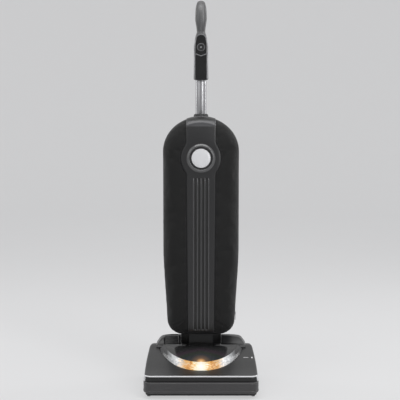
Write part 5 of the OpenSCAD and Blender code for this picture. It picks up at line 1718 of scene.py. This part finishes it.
@dataclass
class BagHousing(Assembly):
    """Hard back, foot pan and zip of the bag housing."""

    wall: float = 3.0
    tooth: float = 2.9

    def shell(self) -> None:
        """Builds the hard back."""
        shape = HOUSE.hull([(0.0, d) for d in steps(203.1, HOUSE.rear_bend, 5)[:-1]] + HOUSE.rear(), HOUSE.pan)
        self.skin("rear_shell_back", shape, "upright", "shell_black", ["rear_shell"], self.wall, HOUSE.inside,
                  soft=0.5, sharp=55)

    def zip(self) -> None:
        """Builds the zip's tapes and its interlocked teeth."""
        line = both_sides([p for p in HOUSE.right(0.0) if p[1] >= 167.2])
        outward = [(up, -along) for along, up in headings(line)]
        section = [(0.1, 197.5), (0.45, 198.3), (0.35, 199.0), (0.0, 199.4), (0.0, 200.6), (0.35, 201.0), (0.45, 201.7),
                   (0.1, 202.5), (-2.2, 202.5), (-2.2, 197.5)]
        shape = Shape().closed([[(x + n[0] * h, d, z + n[1] * h) for h, d in section]
                                for (x, z), n in zip(line, outward)])
        self.solid("zip_tapes", shape, "upright", "zip_black", ["zip_chain"], sharp=60)
        teeth = Shape()
        run, due, side = 0.0, self.tooth, 1
        for a, b, n in zip(line, line[1:], outward):
            size = dist(a, b)
            while due <= run + size:
                x, z = mix_pair(a, b, (due - run) / size)
                teeth.block((x + n[0] * 0.55, HOUSE.part + side * 0.55, z + n[1] * 0.55), (0.9, 2.7, 1.45),
                            atan2(b[0] - a[0], b[1] - a[1]))
                due += self.tooth / 2
                side = -side
            run += size
        self.solid("zip_teeth", teeth, "upright", "zip_metal", sharp=60)

    def slider(self) -> None:
        """Builds the zip's slider with its bridge, and the pull that hangs from it."""
        lean = atan((HOUSE.half - HOUSE.foot) / (HOUSE.taper - HOUSE.low - HOUSE.corner))

        def placed(out: float, d: float, up: float) -> Point:
            """A place by its distance out from the zip, its depth and its height along it."""
            return (HOUSE.foot + 1.6 + out * cos(lean) + up * sin(lean), HOUSE.part + d,
                    HOUSE.low + HOUSE.corner + 6 + up * cos(lean) - out * sin(lean))

        def plate(shape: Shape, halves: list[Pair], low: float, high: float) -> None:
            """Adds a plate of half widths by height, from one distance out to another.

            Args:
                shape: what it is added to.
                halves: its (half width, height) points.
                low: where it starts, out from the zip.
                high: where it ends.
            """
            rim = halves + [(-w, u) for w, u in halves[::-1]]
            mid = sum(u for _, u in rim) / len(rim)
            shape.closed([[placed(out, w * k, mid + (u - mid) * k) for w, u in rim]
                          for out, k in ((low, 0.94), (low + 0.25, 1.0), (high - 0.3, 1.0), (high, 0.9))])
        body = Shape()
        plate(body, [(2.3, 0.0), (3.1, 1.2), (3.4, 5.0), (3.5, 8.5), (2.8, 10.4), (1.0, 11.0)], 0.3, 1.3)
        body.tube([spot(*placed(out, 0, up)) for out, up in (
            (1.2, 9.3), (1.9, 8.8), (2.2, 7.4), (2.2, 5.4), (1.9, 4.0), (1.2, 3.5))], 0.5)
        self.solid("slider_body", body, "zip", NODE_SLOTS["zip_slider"], ["zip_slider"], sharp=50)
        pull = Shape()
        half = [(1.3, -16.0), (2.2, -15.2), (2.6, -13.5), (2.2, -8.0), (1.9, 0.0), (2.0, 4.5), (1.4, 5.9)]
        plate(pull, half, 2.2, 3.0)
        self.solid("pull_tab", pull, "zip", NODE_SLOTS["zip_pull"], ["zip_pull"], sharp=50)

    def build(self) -> None:
        """Builds the housing."""
        self.shell()
        self.zip()
        self.refined("bottom_pan", 0.3)
        self.slider()


@dataclass(frozen=True)
class ClothRun:
    """A short cloth simulation, its result kept within a cap of the shape that was sewn."""

    seed: int
    shake: float
    frames: int
    quality: int
    mass: float
    stretch: float
    shear: float
    bending: float
    damping: float
    shrink: float
    pressure: float
    shake_sewn: bool = False

    def apply(self, piece: Object, sewn: Callable[[Point], bool], cap: Callable[[Point], float]) -> None:
        """Runs the simulation on a piece.

        Args:
            piece: the piece.
            sewn: whether a place in millimetres is held fast.
            cap: how far the cloth may move at a place, in millimetres.
        """
        rest = [v.co.copy() for v in piece.data.vertices]
        dice = random.Random(self.seed)
        pins = piece.vertex_groups.new(name="sewn")
        for v, home in zip(piece.data.vertices, rest):
            held = sewn(sized(home))
            if held:
                pins.add([v.index], 1.0, "REPLACE")
            if self.shake_sewn or not held:
                v.co += Vector([dice.uniform(-1, 1) for _ in range(3)]) * self.shake * MM
        sim = piece.modifiers.new("cloth", "CLOTH")
        cloth = sim.settings
        cloth.quality, cloth.mass = self.quality, self.mass
        cloth.tension_stiffness = cloth.compression_stiffness = self.stretch
        cloth.shear_stiffness, cloth.bending_stiffness = self.shear, self.bending
        cloth.air_damping, cloth.shrink_min = self.damping, self.shrink
        cloth.use_pressure, cloth.uniform_pressure_force = True, self.pressure
        cloth.effector_weights.gravity = 0.0
        cloth.vertex_group_mass = "sewn"
        sim.collision_settings.use_collision = False
        sim.point_cache.frame_start, sim.point_cache.frame_end = 1, self.frames
        scene = bpy.context.scene
        for frame_number in range(1, self.frames + 1):
            scene.frame_set(frame_number)
        moved = piece.evaluated_get(bpy.context.evaluated_depsgraph_get()).data
        found = [v.co.copy() for v in moved.vertices]
        piece.modifiers.clear()
        for v, home, place in zip(piece.data.vertices, rest, found):
            step, most = place - home, cap(sized(home)) * MM
            v.co = home + step * (most * tanh(step.length / most) / max(step.length, 1e-9))
        scene.frame_set(1)


@dataclass
class PaddedCover(Assembly):
    """The zipped padded cloth cover, puffed up by a cloth simulation, with its seams."""

    wall: float = 3.0
    swell: float = 2.6
    swell_side: float = 1.0
    stitch: float = 4.6
    seam: float = 4.6
    run: ClothRun = ClothRun(seed=11, shake=0.05, frames=20, quality=6, mass=0.25, stretch=14.0, shear=6.0, bending=0.8,
                             damping=4.0, shrink=-0.012, pressure=3.5)

    def sewn(self, place: Point) -> bool:
        """Whether the cloth is sewn down at a place."""
        x, d, z = place
        return d > 194.5 or z < HOUSE.pan + 1.2 or abs(x) < HOUSE.strip_half(z) + 0.8

    def cloth(self) -> Object:
        """Builds the cover, and lets the padding puff it up.

        Returns:
            The cover.
        """
        rings = [(0.0, d) for d in (196.7, 194.9, 190.0, 185.0, 180.0, 174.0)] + HOUSE.front()
        shape = HOUSE.hull(rings, HOUSE.pan + 0.3)
        mesh = shape.mesh("padded_cover", 80, HOUSE.inside)
        piece = self.add("padded_cover", mesh, "cover", "cover_fabric", ["front_cover"])
        self.run.apply(piece, self.sewn,
                       lambda place: mix(self.swell, self.swell_side, ease((place[1] - 138) / 24)))
        fine = piece.modifiers.new("fine", "SUBSURF")
        fine.levels = fine.render_levels = 1
        settle(piece)
        return piece

    def seams(self, cover: Object) -> None:
        """Adds the piping along the strip and the rim, and two rows of stitches.

        Args:
            cover: the cover.
        """
        tree = BVHTree.FromObject(cover, bpy.context.evaluated_depsgraph_get())

        def onto(x: float, z: float, off: float) -> Vector:
            """The place on the cloth behind a point seen from the front."""
            hit = tree.ray_cast(spot(x, 60, z), Vector((0, 1, 0)))[0] or spot(x, 128, z)
            return hit - Vector((0, off * MM, 0))
        cord, thread = Shape(), Shape()
        for side in (-1, 1):
            cord.tube([onto(side * (HOUSE.strip_half(z) + 1.3), z, 0.25) for z in steps(169.0, 742.0, 130)], 1.15)
            z = 172.0
            while z < 738.0:
                edge, far = (side * (HOUSE.strip_half(up) + self.seam) for up in (z, z + 2.6))
                thread.tube([onto(edge, z, 0.02), onto(edge, z + 0.45 * self.stitch / 2, 0.3),
                             onto(far, z + 2.6, 0.02)], 0.32, 6)
                z += self.stitch
        cord.tube([spot(x, 194.8, z) for x, z in both_sides([p for p in HOUSE.right(0.0) if p[1] >= 166.0])], 1.5)
        self.solid("cover_piping", cord, "cover", "cover_piping", sharp=60)
        self.solid("cover_stitches", thread, "cover", "cover_thread", sharp=80)

    def build(self) -> None:
        """Builds the cover."""
        piece = self.cloth()
        self.seams(piece)
        self.thicken(piece, self.wall)
        settle(piece)


@dataclass
class SpineStrip(Assembly):
    """The ribbed strip up the cover, its round plate, ring and medallion."""

    proud: float = 4.0
    pitch: float = 11.0
    rib_r: float = 2.6
    groove: float = 2.9
    rib_low: float = 175.2
    rib_high: float = 620.7
    foot: float = 165.2
    top: float = 745.0
    lining: float = 0.3

    def columns(self, z: float) -> list[float]:
        """The strip's columns from edge to edge, one on each side of every groove's flanks.

        Args:
            z: the height.

        Returns:
            The columns, from left to right.
        """
        w = HOUSE.strip_half(z)
        half = [0.0, 2.4, 2.75, 4.0, 5.5, 7.0, 8.25, 8.6, 11.0, 13.4, 13.75, 15.0, 16.5, 18.0, 19.25, 19.6, 22.0, 26.0]
        half += [mix(26.0, w - 2.4, t) for t in steps(0, 1, 6)[1:]] + [w - 1.5, w - 0.8, w - 0.25, w]
        return [-x for x in half[:0:-1]] + half

    def grown(self, x: float, z: float, w: float) -> float:
        """How far the outer face stands proud of the cloth.

        Args:
            x: the width.
            z: the height.
            w: the strip's half width there.

        Returns:
            The distance.
        """
        g = self.proud
        e = w - abs(x)
        if e < 2.4:
            g -= 2.4 - sqrt(max(0.0, 2.4 ** 2 - (2.4 - e) ** 2))
        within = min(z - 172.5, self.rib_high + 2.0 - z)
        if within > 0:
            near = min(abs(abs(x) - 0.5 * self.pitch), abs(abs(x) - 1.5 * self.pitch))
            g -= 2.0 * ease((self.groove + 0.15 - near) / 0.5) * ease(within / 2.0)
        r = hypot(x, z - HOUSE.plate_z)
        return g - 3.3 * ease((37.0 - r) / 1.5)

    def heights(self) -> list[float]:
        """The heights of the strip's level rows.

        Returns:
            The heights, rising.
        """
        parts = ((self.foot, 172, 5), (172.6, 176, 5), (178, 221, 14), (225, 616, 66), (618.4, 623.2, 6),
                 (626, self.top, 44))
        return [z for part in parts for z in steps(*part)]

    def row(self, z: float, place: Callable[[float, float], Point]) -> Row:
        """One closed row of the strip.

        Args:
            z: the height that its width is taken at.
            place: the point at a width, grown by a distance.

        Returns:
            The row, its front first.
        """
        front = self.columns(z)
        w = front[-1]
        return [place(x, self.grown(x, z, w)) for x in front] + [
            place(x, self.lining) for x in steps(w - 0.02, 0.02 - w, 8)]

    def level(self, z: float) -> Row:
        """One closed row of the strip, level across its front."""
        return self.row(z, lambda x, g: (x, HOUSE.front_depth(HOUSE.inset(x, z), g), z))

    def over(self, t: float) -> Row:
        """One closed row where the strip bends over the arch, from 0 at its foremost to 1.

        Args:
            t: the share of the bend.

        Returns:
            The row.
        """
        def place(x: float, g: float) -> Point:
            """A point of the bend, grown by g.

            Args:
                x: the width.
                g: how far it is grown.

            Returns:
                The point.
            """
            if t < 0.4:
                s = mix(HOUSE.inset(x, self.top), HOUSE.bent(HOUSE.turn, g)[0], t / 0.4)
                d = HOUSE.front_depth(s, g)
            else:
                s, d = HOUSE.bent(HOUSE.turn * (1 - (t - 0.4) / 0.6), g)
                d -= 1.2
            return x, d, HOUSE.arch + (HOUSE.rise - s) * sqrt(max(0.0, 1 - (x / (HOUSE.half - s)) ** 2))
        return self.row(self.top, place)

    def rib(self, shape: Shape, x: float) -> None:
        """Adds one rib with round ends, which leans back with the strip's foot.

        Args:
            shape: the ribs.
            x: its place across.
        """
        def centre(z: float) -> Pair:
            """The rib's middle line."""
            return HOUSE.front_depth(HOUSE.inset(x, max(z, 168.0)), self.proud) + 0.6, z
        round_end = (0.45, 0.7, 0.86, 0.96, 1.0)
        stations = [*((self.rib_low, -b) for b in round_end[::-1]), (self.rib_low, 0.0)]
        stations += [(z, 0.0) for z in (*steps(178, 221, 12), *steps(235, self.rib_high, 22))]
        stations += [(self.rib_high, b) for b in round_end]
        rows = []
        for z, b in stations:
            back, up = heading(centre(z - 1.5), centre(z + 1.5))
            d, _ = centre(z)
            r = self.rib_r * sqrt(max(0.0004, 1 - b * b))
            rows.append([(x + r * cos(a), d + back * b * self.rib_r + up * r * sin(a),
                          z + up * b * self.rib_r - back * r * sin(a)) for a in turns(20)])
        shape.closed(rows)

    def build(self) -> None:
        """Builds the strip and what sits on it."""
        band = Shape().closed([self.level(z) for z in self.heights()] + [self.over(t) for t in steps(0.05, 1.0, 26)])
        self.solid("spine_strip_band", band, "cover", "strip_grey", ["spine_strip"], sharp=42)
        ribs = Shape()
        for i in range(-2, 3):
            self.rib(ribs, i * self.pitch)
        self.solid("spine_ribs", ribs, "cover", "rib_highlit_grey", sharp=60)
        place = (0.0, HOUSE.face_d, HOUSE.plate_z)
        ring = Shape().turned(Axis.DEPTH, place, [
            (34.5, 2.6), (33.2, 2.6), (33.0, 2.3), (33.0, -0.8), (33.2, -1.6), (34.1, -3.1), (34.7, -3.55),
            (35.4, -3.65), (37.1, -3.45), (37.9, -3.05), (40.9, -0.75), (41.5, -0.4), (41.7, -0.05), (34.5, -0.05),
            (34.5, 2.6)], 128)
        self.solid("boss_ring_bevel", ring, "cover", "ring_grey", ["boss_ring"], sharp=50)
        disc = Shape().turned(Axis.DEPTH, place, [
            (0, 1.2), (27.2, 1.2), (27.7, 0.9), (27.7, -0.3), (27.5, -0.8), (26.8, -1.25), (26.0, -1.4), (24.8, -1.3),
            (24.2, -1.55), (19.7, -2.0), (10, -2.3), (0, -2.4)], 128)
        self.solid("medallion_disc", disc, "cover", "silver_badge", ["medallion"], sharp=40)
        # The seat is black, which darkens the groove between the disc and the ring: in part painted shade.
        seat = Shape().turned(Axis.DEPTH, place, [(0, 2.9), (32.6, 2.9), (32.6, 1.5), (28.0, 1.3), (0, 1.3)])
        self.solid("medallion_seat", seat, "cover", "black_plastic", sharp=40)


@dataclass
class DustBag(Assembly):
    """The paper filter bag on its spout."""

    half: float = 71.0
    front: float = 141.0
    back: float = 211.3
    low: float = 188.0
    high: float = 684.5
    gusset: float = 13.0
    play: float = 2.2
    run: ClothRun = ClothRun(seed=23, shake=0.25, frames=16, quality=5, mass=0.12, stretch=25.0, shear=25.0,
                             bending=6.0, damping=3.0, shrink=-0.02, pressure=0.6, shake_sewn=True)

    def section(self, z: float) -> Row:
        """One ring of the bag: a rounded box whose sides fold inwards.

        Args:
            z: the height.

        Returns:
            The ring.
        """
        end = min(z - self.low, self.high - z)
        thin = ease(end / 60.0)
        w = self.half - 6 * (1 - ease(end / 30.0))
        mid, deep = (self.front + self.back) / 2, (self.back - self.front) / 2 * mix(0.35, 1.0, thin)
        ring = []
        for a in turns(72):
            c, s = signed_power(cos(a), 0.4), signed_power(sin(a), 0.5)
            fold = self.gusset * thin * max(0.0, 1 - abs(s) * 1.6) * abs(c) ** 3
            ring.append((copysign(abs(c) * w - fold, c), mid + deep * s, z))
        return ring

    def bag(self) -> None:
        """Builds the bag, and lets a cloth simulation crease it."""
        heights = [self.low, self.low + 1.5, *steps(self.low + 7, self.high - 7, 78), self.high - 1.5, self.high]
        shape = Shape().closed([self.section(z) for z in heights])
        piece = self.add("paper_bag", shape.mesh("paper_bag", 70), "upright", "bag_paper", ["filter_bag"])
        self.run.apply(piece, self.glued, lambda place: self.play)
        settle(piece)

    def glued(self, place: Point) -> bool:
        """Whether the bag is glued to its collar at a place."""
        x, d, z = place
        return d > 205 and abs(z - 644) < 42 and abs(x) < 46

    def build(self) -> None:
        """Builds the bag and its spout."""
        self.bag()
        self.refined("fill_tube", 0.25)
        self.refined("bag_seal", 0.3)
        self.refined("bag_collar", 0.25)


@dataclass
class HandleTube(Assembly):
    """The polished tube and its socket."""

    d: float = 238.0
    low: float = 695.0
    high: float = 999.0
    r: float = 16.0
    wall: float = 1.5

    def build(self) -> None:
        """Builds the tube and dresses its socket."""
        length, inner = self.high - self.low, self.r - self.wall
        shape = Shape().turned(Axis.HEIGHT, (0, self.d, self.low), [
            (self.r - 0.3, 0), (self.r, 0.3), (self.r, length - 0.3), (self.r - 0.3, length), (inner, length),
            (inner, 0), (self.r - 0.3, 0)], 72)
        self.solid("polished_tube", shape, "upright", "tube_metal", ["handle_tube"], sharp=50)
        self.refined("tube_socket", 0.5)
        self.refined("housing_screws", 0.25, 50)


@dataclass
class Grip(Assembly):
    """The loop grip in two halves, its inset, switch and bright frame."""

    foot: float = 909.0
    mid_d: float = 238.0
    loop_d: float = 244.0
    loop_z: float = 1088.0
    reach: Pair = (33.0, 43.0)
    panel_d: float = 213.4
    switch_z: float = 1004.6
    voxel: float = 1.5
    part: float = 0.14
    skin_tree: BVHTree | None = None
    half: Profile = curve(
        (0, 22), (41, 21.3), (76, 20.6), (101, 20), (117, 18.6), (127, 16.6), (134, 14.6), (141, 12.5))
    deep: Profile = curve((0, 24), (76, 25), (101, 27), (121, 31), (134, 37), (141, 36))
    loop_half: Profile = curve(
        (0, 17.4), (35, 16), (70, 13.4), (100, 13), (160, 12), (240, 12), (300, 12.6), (325, 13.4), (360, 17.4))
    loop_thick: Profile = curve((0, 14), (40, 13), (90, 12), (150, 10.5), (240, 10.5), (325, 12), (360, 14))

    def body_rows(self) -> list[Row]:
        """Level rings of the grip's body.

        Returns:
            The rings, from the foot up.
        """
        rows = []
        for h, cut in ((0.0, 2.2), (0.5, 1.1), (1.6, 0.35), (3.2, 0.0), *((h, 0.0) for h in steps(6, 141, 34))):
            w, t = self.half(h) - cut, self.deep(h) - cut
            mid = self.mid_d + 6 * ease((h - 101) / 40)
            row = []
            for a in turns(56):
                c, s = cos(a), sin(a)
                power = 2 / (5.5 if s < 0 else 3.0)
                row.append((w * signed_power(c, power), mid + t * signed_power(s, power), self.foot + h))
            rows.append(row)
        return rows

    def loop_line(self, turn: float) -> Pair:
        """The middle line of the hand loop, by degrees from its front leg up."""
        c, s = cos(radians(turn)), sin(radians(turn))
        return self.loop_d - self.reach[0] * signed_power(c, 0.75), self.loop_z + self.reach[1] * signed_power(s, 0.75)

    def loop_rows(self) -> list[Row]:
        """Rings round the hand loop.

        Returns:
            The rings.
        """
        rows = []
        for k in range(96):
            a = k * 3.75
            d, z = self.loop_line(a)
            back, up = heading(self.loop_line(a - 4), self.loop_line(a + 4))
            row = []
            for b in turns(40):
                off = self.loop_thick(a) * signed_power(sin(b), 0.92)
                row.append((self.loop_half(a) * signed_power(cos(b), 0.92), d - off * up, z + off * back))
            rows.append(row)
        return rows

    def moulding(self) -> Mesh:
        """The grip as one blended form.

        Returns:
            The mesh.
        """
        shape = Shape().closed(self.body_rows()).grid(self.loop_rows(), ring=True, loop=True)
        obj = linked("grip_form", shape.mesh("grip_form", 80))
        melt = obj.modifiers.new("melt", "REMESH")
        melt.mode, melt.voxel_size, melt.use_smooth_shade = "VOXEL", self.voxel * MM, True
        soft = obj.modifiers.new("soft", "SMOOTH")
        soft.factor, soft.iterations = 0.5, 7
        settle(obj)
        made = obj.data
        bpy.data.objects.remove(obj)
        return made

    def recesses(self) -> Object:
        """The recesses of the inset and the panel and the bore for the tube, as a solid to cut away.

        Returns:
            The solid.
        """
        shape = Shape()
        inset = [(-16.5, 900.0), (16.5, 900.0), (16.5, 983.7), (0.0, 977.7), (-16.5, 983.7)]
        right = [(15.8, 986.8), (15.8, 1015.0)] + [(13.2 * cos(a), 1027 + 13.2 * sin(a))
                                                   for a in steps(radians(20), pi / 2, 12)]
        panel = [(0.0, 980.8), *both_sides(right)]
        for rim, back in ((inset, self.panel_d + 1.9), (panel, self.panel_d + 2.0)):
            shape.closed([[(x, d, z) for x, z in rim] for d in (160.0, back)])
        return linked("recesses", shape.mesh("recesses", 40))

    def halves(self) -> None:
        """Parts the moulding along its middle into two shells, and cuts its recesses."""
        whole = self.moulding()
        shape = Shape(whole)
        self.skin_tree = BVHTree.FromBMesh(shape.bm)
        shape.bm.free()
        tool = self.recesses()
        for side, sign in (("left", -1), ("right", 1)):
            shape = Shape(whole)
            cut = bmesh.ops.bisect_plane(
                shape.bm, geom=shape.parts(), dist=1e-7, plane_co=(sign * self.part * MM, 0, 0),
                plane_no=(-sign, 0, 0), clear_outer=True)["geom_cut"]
            rim = [e for e in cut if isinstance(e, bmesh.types.BMEdge)]
            bmesh.ops.holes_fill(shape.bm, edges=rim, sides=0)
            half = self.solid("grip_half_" + side, shape, "upright", "grip_grey", ["grip_" + side], sharp=50)
            carve = half.modifiers.new("recesses", "BOOLEAN")
            carve.object, carve.operation, carve.solver = tool, "DIFFERENCE", "EXACT"
            settle(half)
            half.data.set_sharp_from_angle(angle=radians(42))
        bpy.data.objects.remove(tool)

    def face(self, x: float, z: float) -> float:
        """Depth of the moulding's front at a place seen from the front.

        Args:
            x: the width.
            z: the height.

        Returns:
            The depth.
        """
        limit = 0.955 * self.half(max(0.0, min(z - self.foot, 141.0)))
        x = max(-limit, min(limit, x))
        hit = self.skin_tree.ray_cast(spot(x, 120, z), Vector((0, 1, 0)))[0]
        return sized(hit)[1] if hit else self.panel_d

    def arch(self, g: float) -> list[Pair]:
        """Line round the recesses, from its left foot over the top to its right foot, g outside them.

        Args:
            g: how far outside the recesses it runs.

        Returns:
            The (x, z) points.
        """
        turn = steps(radians(16), pi / 2, 14)
        right = [(16.4 + g, z) for z in steps(911.0, 1008.0, 30)] + [(15.8 + g, 1015.0)]
        right += [((13.2 + g) * cos(a), 1027 + (13.2 + g) * sin(a)) for a in turn[:-1]]
        return [(-x, z) for x, z in right] + [(0.0, 1040.2 + g)] + right[::-1]

    def frame(self) -> None:
        """Builds the bright frame round the recesses, on the moulding's face."""
        rows = []
        line = self.arch(2.2)
        section = ((-1.0, 0.0), (-0.85, -0.5), (-0.5, -0.85), (0.0, -0.95), (0.5, -0.8), (0.85, -0.4), (1.0, 0.1))
        for i, ((x, z), (along, up)) in enumerate(zip(line, headings(line))):
            end = mix(0.4, 1.0, ease(min(i, len(line) - 1 - i) / 2))
            wide = 2.3 - 1.0 * ease((z - 1010) / 20)
            spots = [(x - up * u * wide, z + along * u * wide, h * end) for u, h in section]
            front = [(px, self.face(px, pz) + h, pz) for px, pz, h in spots]
            rows.append([*front, *((px, d + 1.6 - h * 0.5, pz)
                                   for (px, d, pz), (_, _, h) in zip(front[::-2], spots[::-2]))])
        shape = Shape().closed(rows)
        bar = []
        section = ((-1.45, 1.5), (-1.45, -0.9), (-0.8, -1.7), (0.8, -1.7), (1.45, -0.9), (1.45, 1.5))
        for x in steps(-16.2, 16.2, 24):
            z = 985.25 - 6.0 * (1 - abs(x) / 16.2)
            bar.append([(x, self.panel_d + h, z + u) for u, h in section])
        shape.closed(bar)
        self.solid("grip_frame", shape, "upright", "frame_silver", sharp=60)

    def ribs(self) -> None:
        """Fine ribs across the soft inset."""
        shape = Shape()
        for z in steps(913.0, 973.0, 24):
            shape.tube([spot(x, self.panel_d - 0.62, z) for x in (-13.6, -13.2, -6, 0, 6, 13.2, 13.6)], 0.42, 8)
        self.solid("inset_ribs", shape, "upright", "inset_black", sharp=80)

    def switch(self) -> None:
        """Builds the switch's ring and the small mark on its rocker."""
        ring = Shape().turned(Axis.DEPTH, (0, self.panel_d - 1.4, self.switch_z), [
            (9.45, -0.05), (9.4, -1.9), (9.6, -2.4), (10.0, -2.75), (10.5, -2.7), (11.0, -2.0), (11.6, -0.9),
            (12.0, -0.6), (12.0, -0.05), (9.45, -0.05)], 72)
        self.solid("switch_ring", ring, "upright", "bezel_grey", ["switch_bezel"], sharp=50)
        self.refined("switch_rocker", 0.3)
        self.refined("switch_panel", 0.35, 40)
        mark = Shape()
        rim = [(3.7 * sin(a), 3.7 * cos(a) - 1.2) for a in (0.0, 2 * pi / 3, 4 * pi / 3)]
        rim = [mix_pair(a, b, t) for a, b in zip(rim, [*rim[1:], rim[0]]) for t in (0.12, 0.5, 0.88)]
        lean = tan(radians(6))
        mark.closed([[(x, self.panel_d + 2 - 4.06 + h - z * lean, self.switch_z + z + 0.2) for x, z in rim]
                     for h in (0.35, -0.12)])
        self.solid("rocker_mark", mark, "rocker", "silver_badge", sharp=60)

    def build(self) -> None:
        """Builds the grip."""
        self.halves()
        self.refined("grip_inset", 0.3, 40)
        self.frame()
        self.ribs()
        self.switch()
        self.refined("upper_cord_hook", 0.8)
        self.refined("lower_cord_hook", 0.8)
        self.refined("cord_gland", 0.4)


@dataclass
class Studio:
    """Floor, lights and camera."""

    image: int = 400
    focal_px: float = 1078.0
    tilt: float = 5.31
    eye: Point = (-0.003, -3.145, 0.85)
    own_light: float = 0.6

    def camera(self) -> None:
        """Places the camera."""
        data = bpy.data.cameras.new("camera")
        data.sensor_width = 36.0
        data.lens = 36.0 * self.focal_px / self.image
        data.clip_end = 40.0
        obj = linked("camera", data)
        obj.location = self.eye
        obj.rotation_euler = (radians(90 - self.tilt), 0, 0)
        bpy.context.scene.camera = obj

    def floor(self) -> None:
        """Builds the pale floor that the machine stands on, which sweeps up far off on every side."""
        line = [(0.0, 0.0), (1000.0, 0.0), (2500.0, 0.0), (5000.0, 0.0)]
        line += [(5000 + 2000 * sin(a), 2000 * (1 - cos(a))) for a in steps(0, pi / 2, 20)[1:]]
        shape = Shape().turned(Axis.HEIGHT, (0.0, BASE_DEPTH / 2, 0.0), [*line, (7000.0, 5000.0)])
        shape.flip()
        obj = linked("sweep", shape.mesh("sweep", 60))
        pale = bpy.data.materials.new("pale_paper")
        g = NodeGraph.cleared(pale)
        tint = g.blend(g.noise(3.0, 3.0), tone(206, 206, 207), tone(210, 210, 210))
        dull = g.add("BsdfPrincipled", {"Base Color": tint, "Roughness": 0.9, "Specular IOR Level": 0.1,
                                        "Normal": g.bump(0.2, 0.0002, g.noise(900.0, 2.0))}).outputs[0]
        light = g.add("Emission", {"Color": tone(236, 236, 237), "Strength": 1.0}).outputs[0]
        both = g.add("MixShader", {0: g.times(g.seen(), self.own_light), 1: dull, 2: light})
        g.close("OutputMaterial", both.outputs[0])
        obj.data.materials.append(pale)

    def lights(self) -> None:
        """Sets soft lamps and an even world."""
        world = bpy.data.worlds.new("studio")
        bpy.context.scene.world = world
        g = NodeGraph.cleared(world)
        plain = g.add("Background", {"Color": (0.9, 0.92, 0.95, 1), "Strength": 0.42}).outputs[0]
        white = g.add("Background", {"Color": (1, 1, 1, 1), "Strength": 0.85}).outputs[0]
        g.close("OutputWorld", g.add("MixShader", {0: g.seen(), 1: plain, 2: white}).outputs[0])
        for name, place, aim, size, power in (
                ("key", (1.75, -2.4, 1.7), (0, 0, 0.75), (0.8, 2.4), 36.0),
                ("fill", (-2.2, -2.0, 1.7), (0, 0, 0.5), (1.5, 1.8), 12.0),
                ("top", (0.0, -0.9, 2.9), (0, 0, 0.5), (2.4, 1.6), 36.0),
                ("strip_left", (-2.0, 0.9, 1.3), (0, 0, 0.7), (0.5, 1.8), 11.0),
                ("strip_right", (2.0, 0.9, 1.3), (0, 0, 0.7), (0.5, 1.8), 15.0)):
            data = bpy.data.lights.new(name, "AREA")
            data.shape, data.size, data.size_y, data.energy = "RECTANGLE", size[0], size[1], power
            obj = linked(name, data)
            obj.location, obj.visible_camera = place, False
            obj.rotation_euler = (Vector(aim) - Vector(place)).to_track_quat("-Z", "Y").to_euler()
        bpy.context.scene.view_settings.view_transform = "Standard"

    def build(self) -> None:
        """Builds the studio."""
        self.camera()
        self.floor()
        self.lights()


def dress_rest() -> None:
    """Gives every CAD node that still shows the finish of its slot."""
    for node, obj in frame["nodes"].items():
        if not obj.hide_render:
            obj.data.materials.clear()
            obj.data.materials.append(FINISHES[NODE_SLOTS[node]].material())
            LOG.info("Carried over: %s as %s", node, NODE_SLOTS[node])


def main() -> None:
    """Builds the studio and every assembly in order."""
    logging.basicConfig(level=logging.INFO, format="%(message)s")
    Studio().build()
    for assembly in (Hood(), Headlamp(), Bumper(), BrushRoll(), DriveTrain(), RunningGear(), Undercarriage(),
                     BagHousing(), PaddedCover(), SpineStrip(), DustBag(), HandleTube(), Grip()):
        assembly.build()
    dress_rest()


if __name__ == "__main__":
    main()
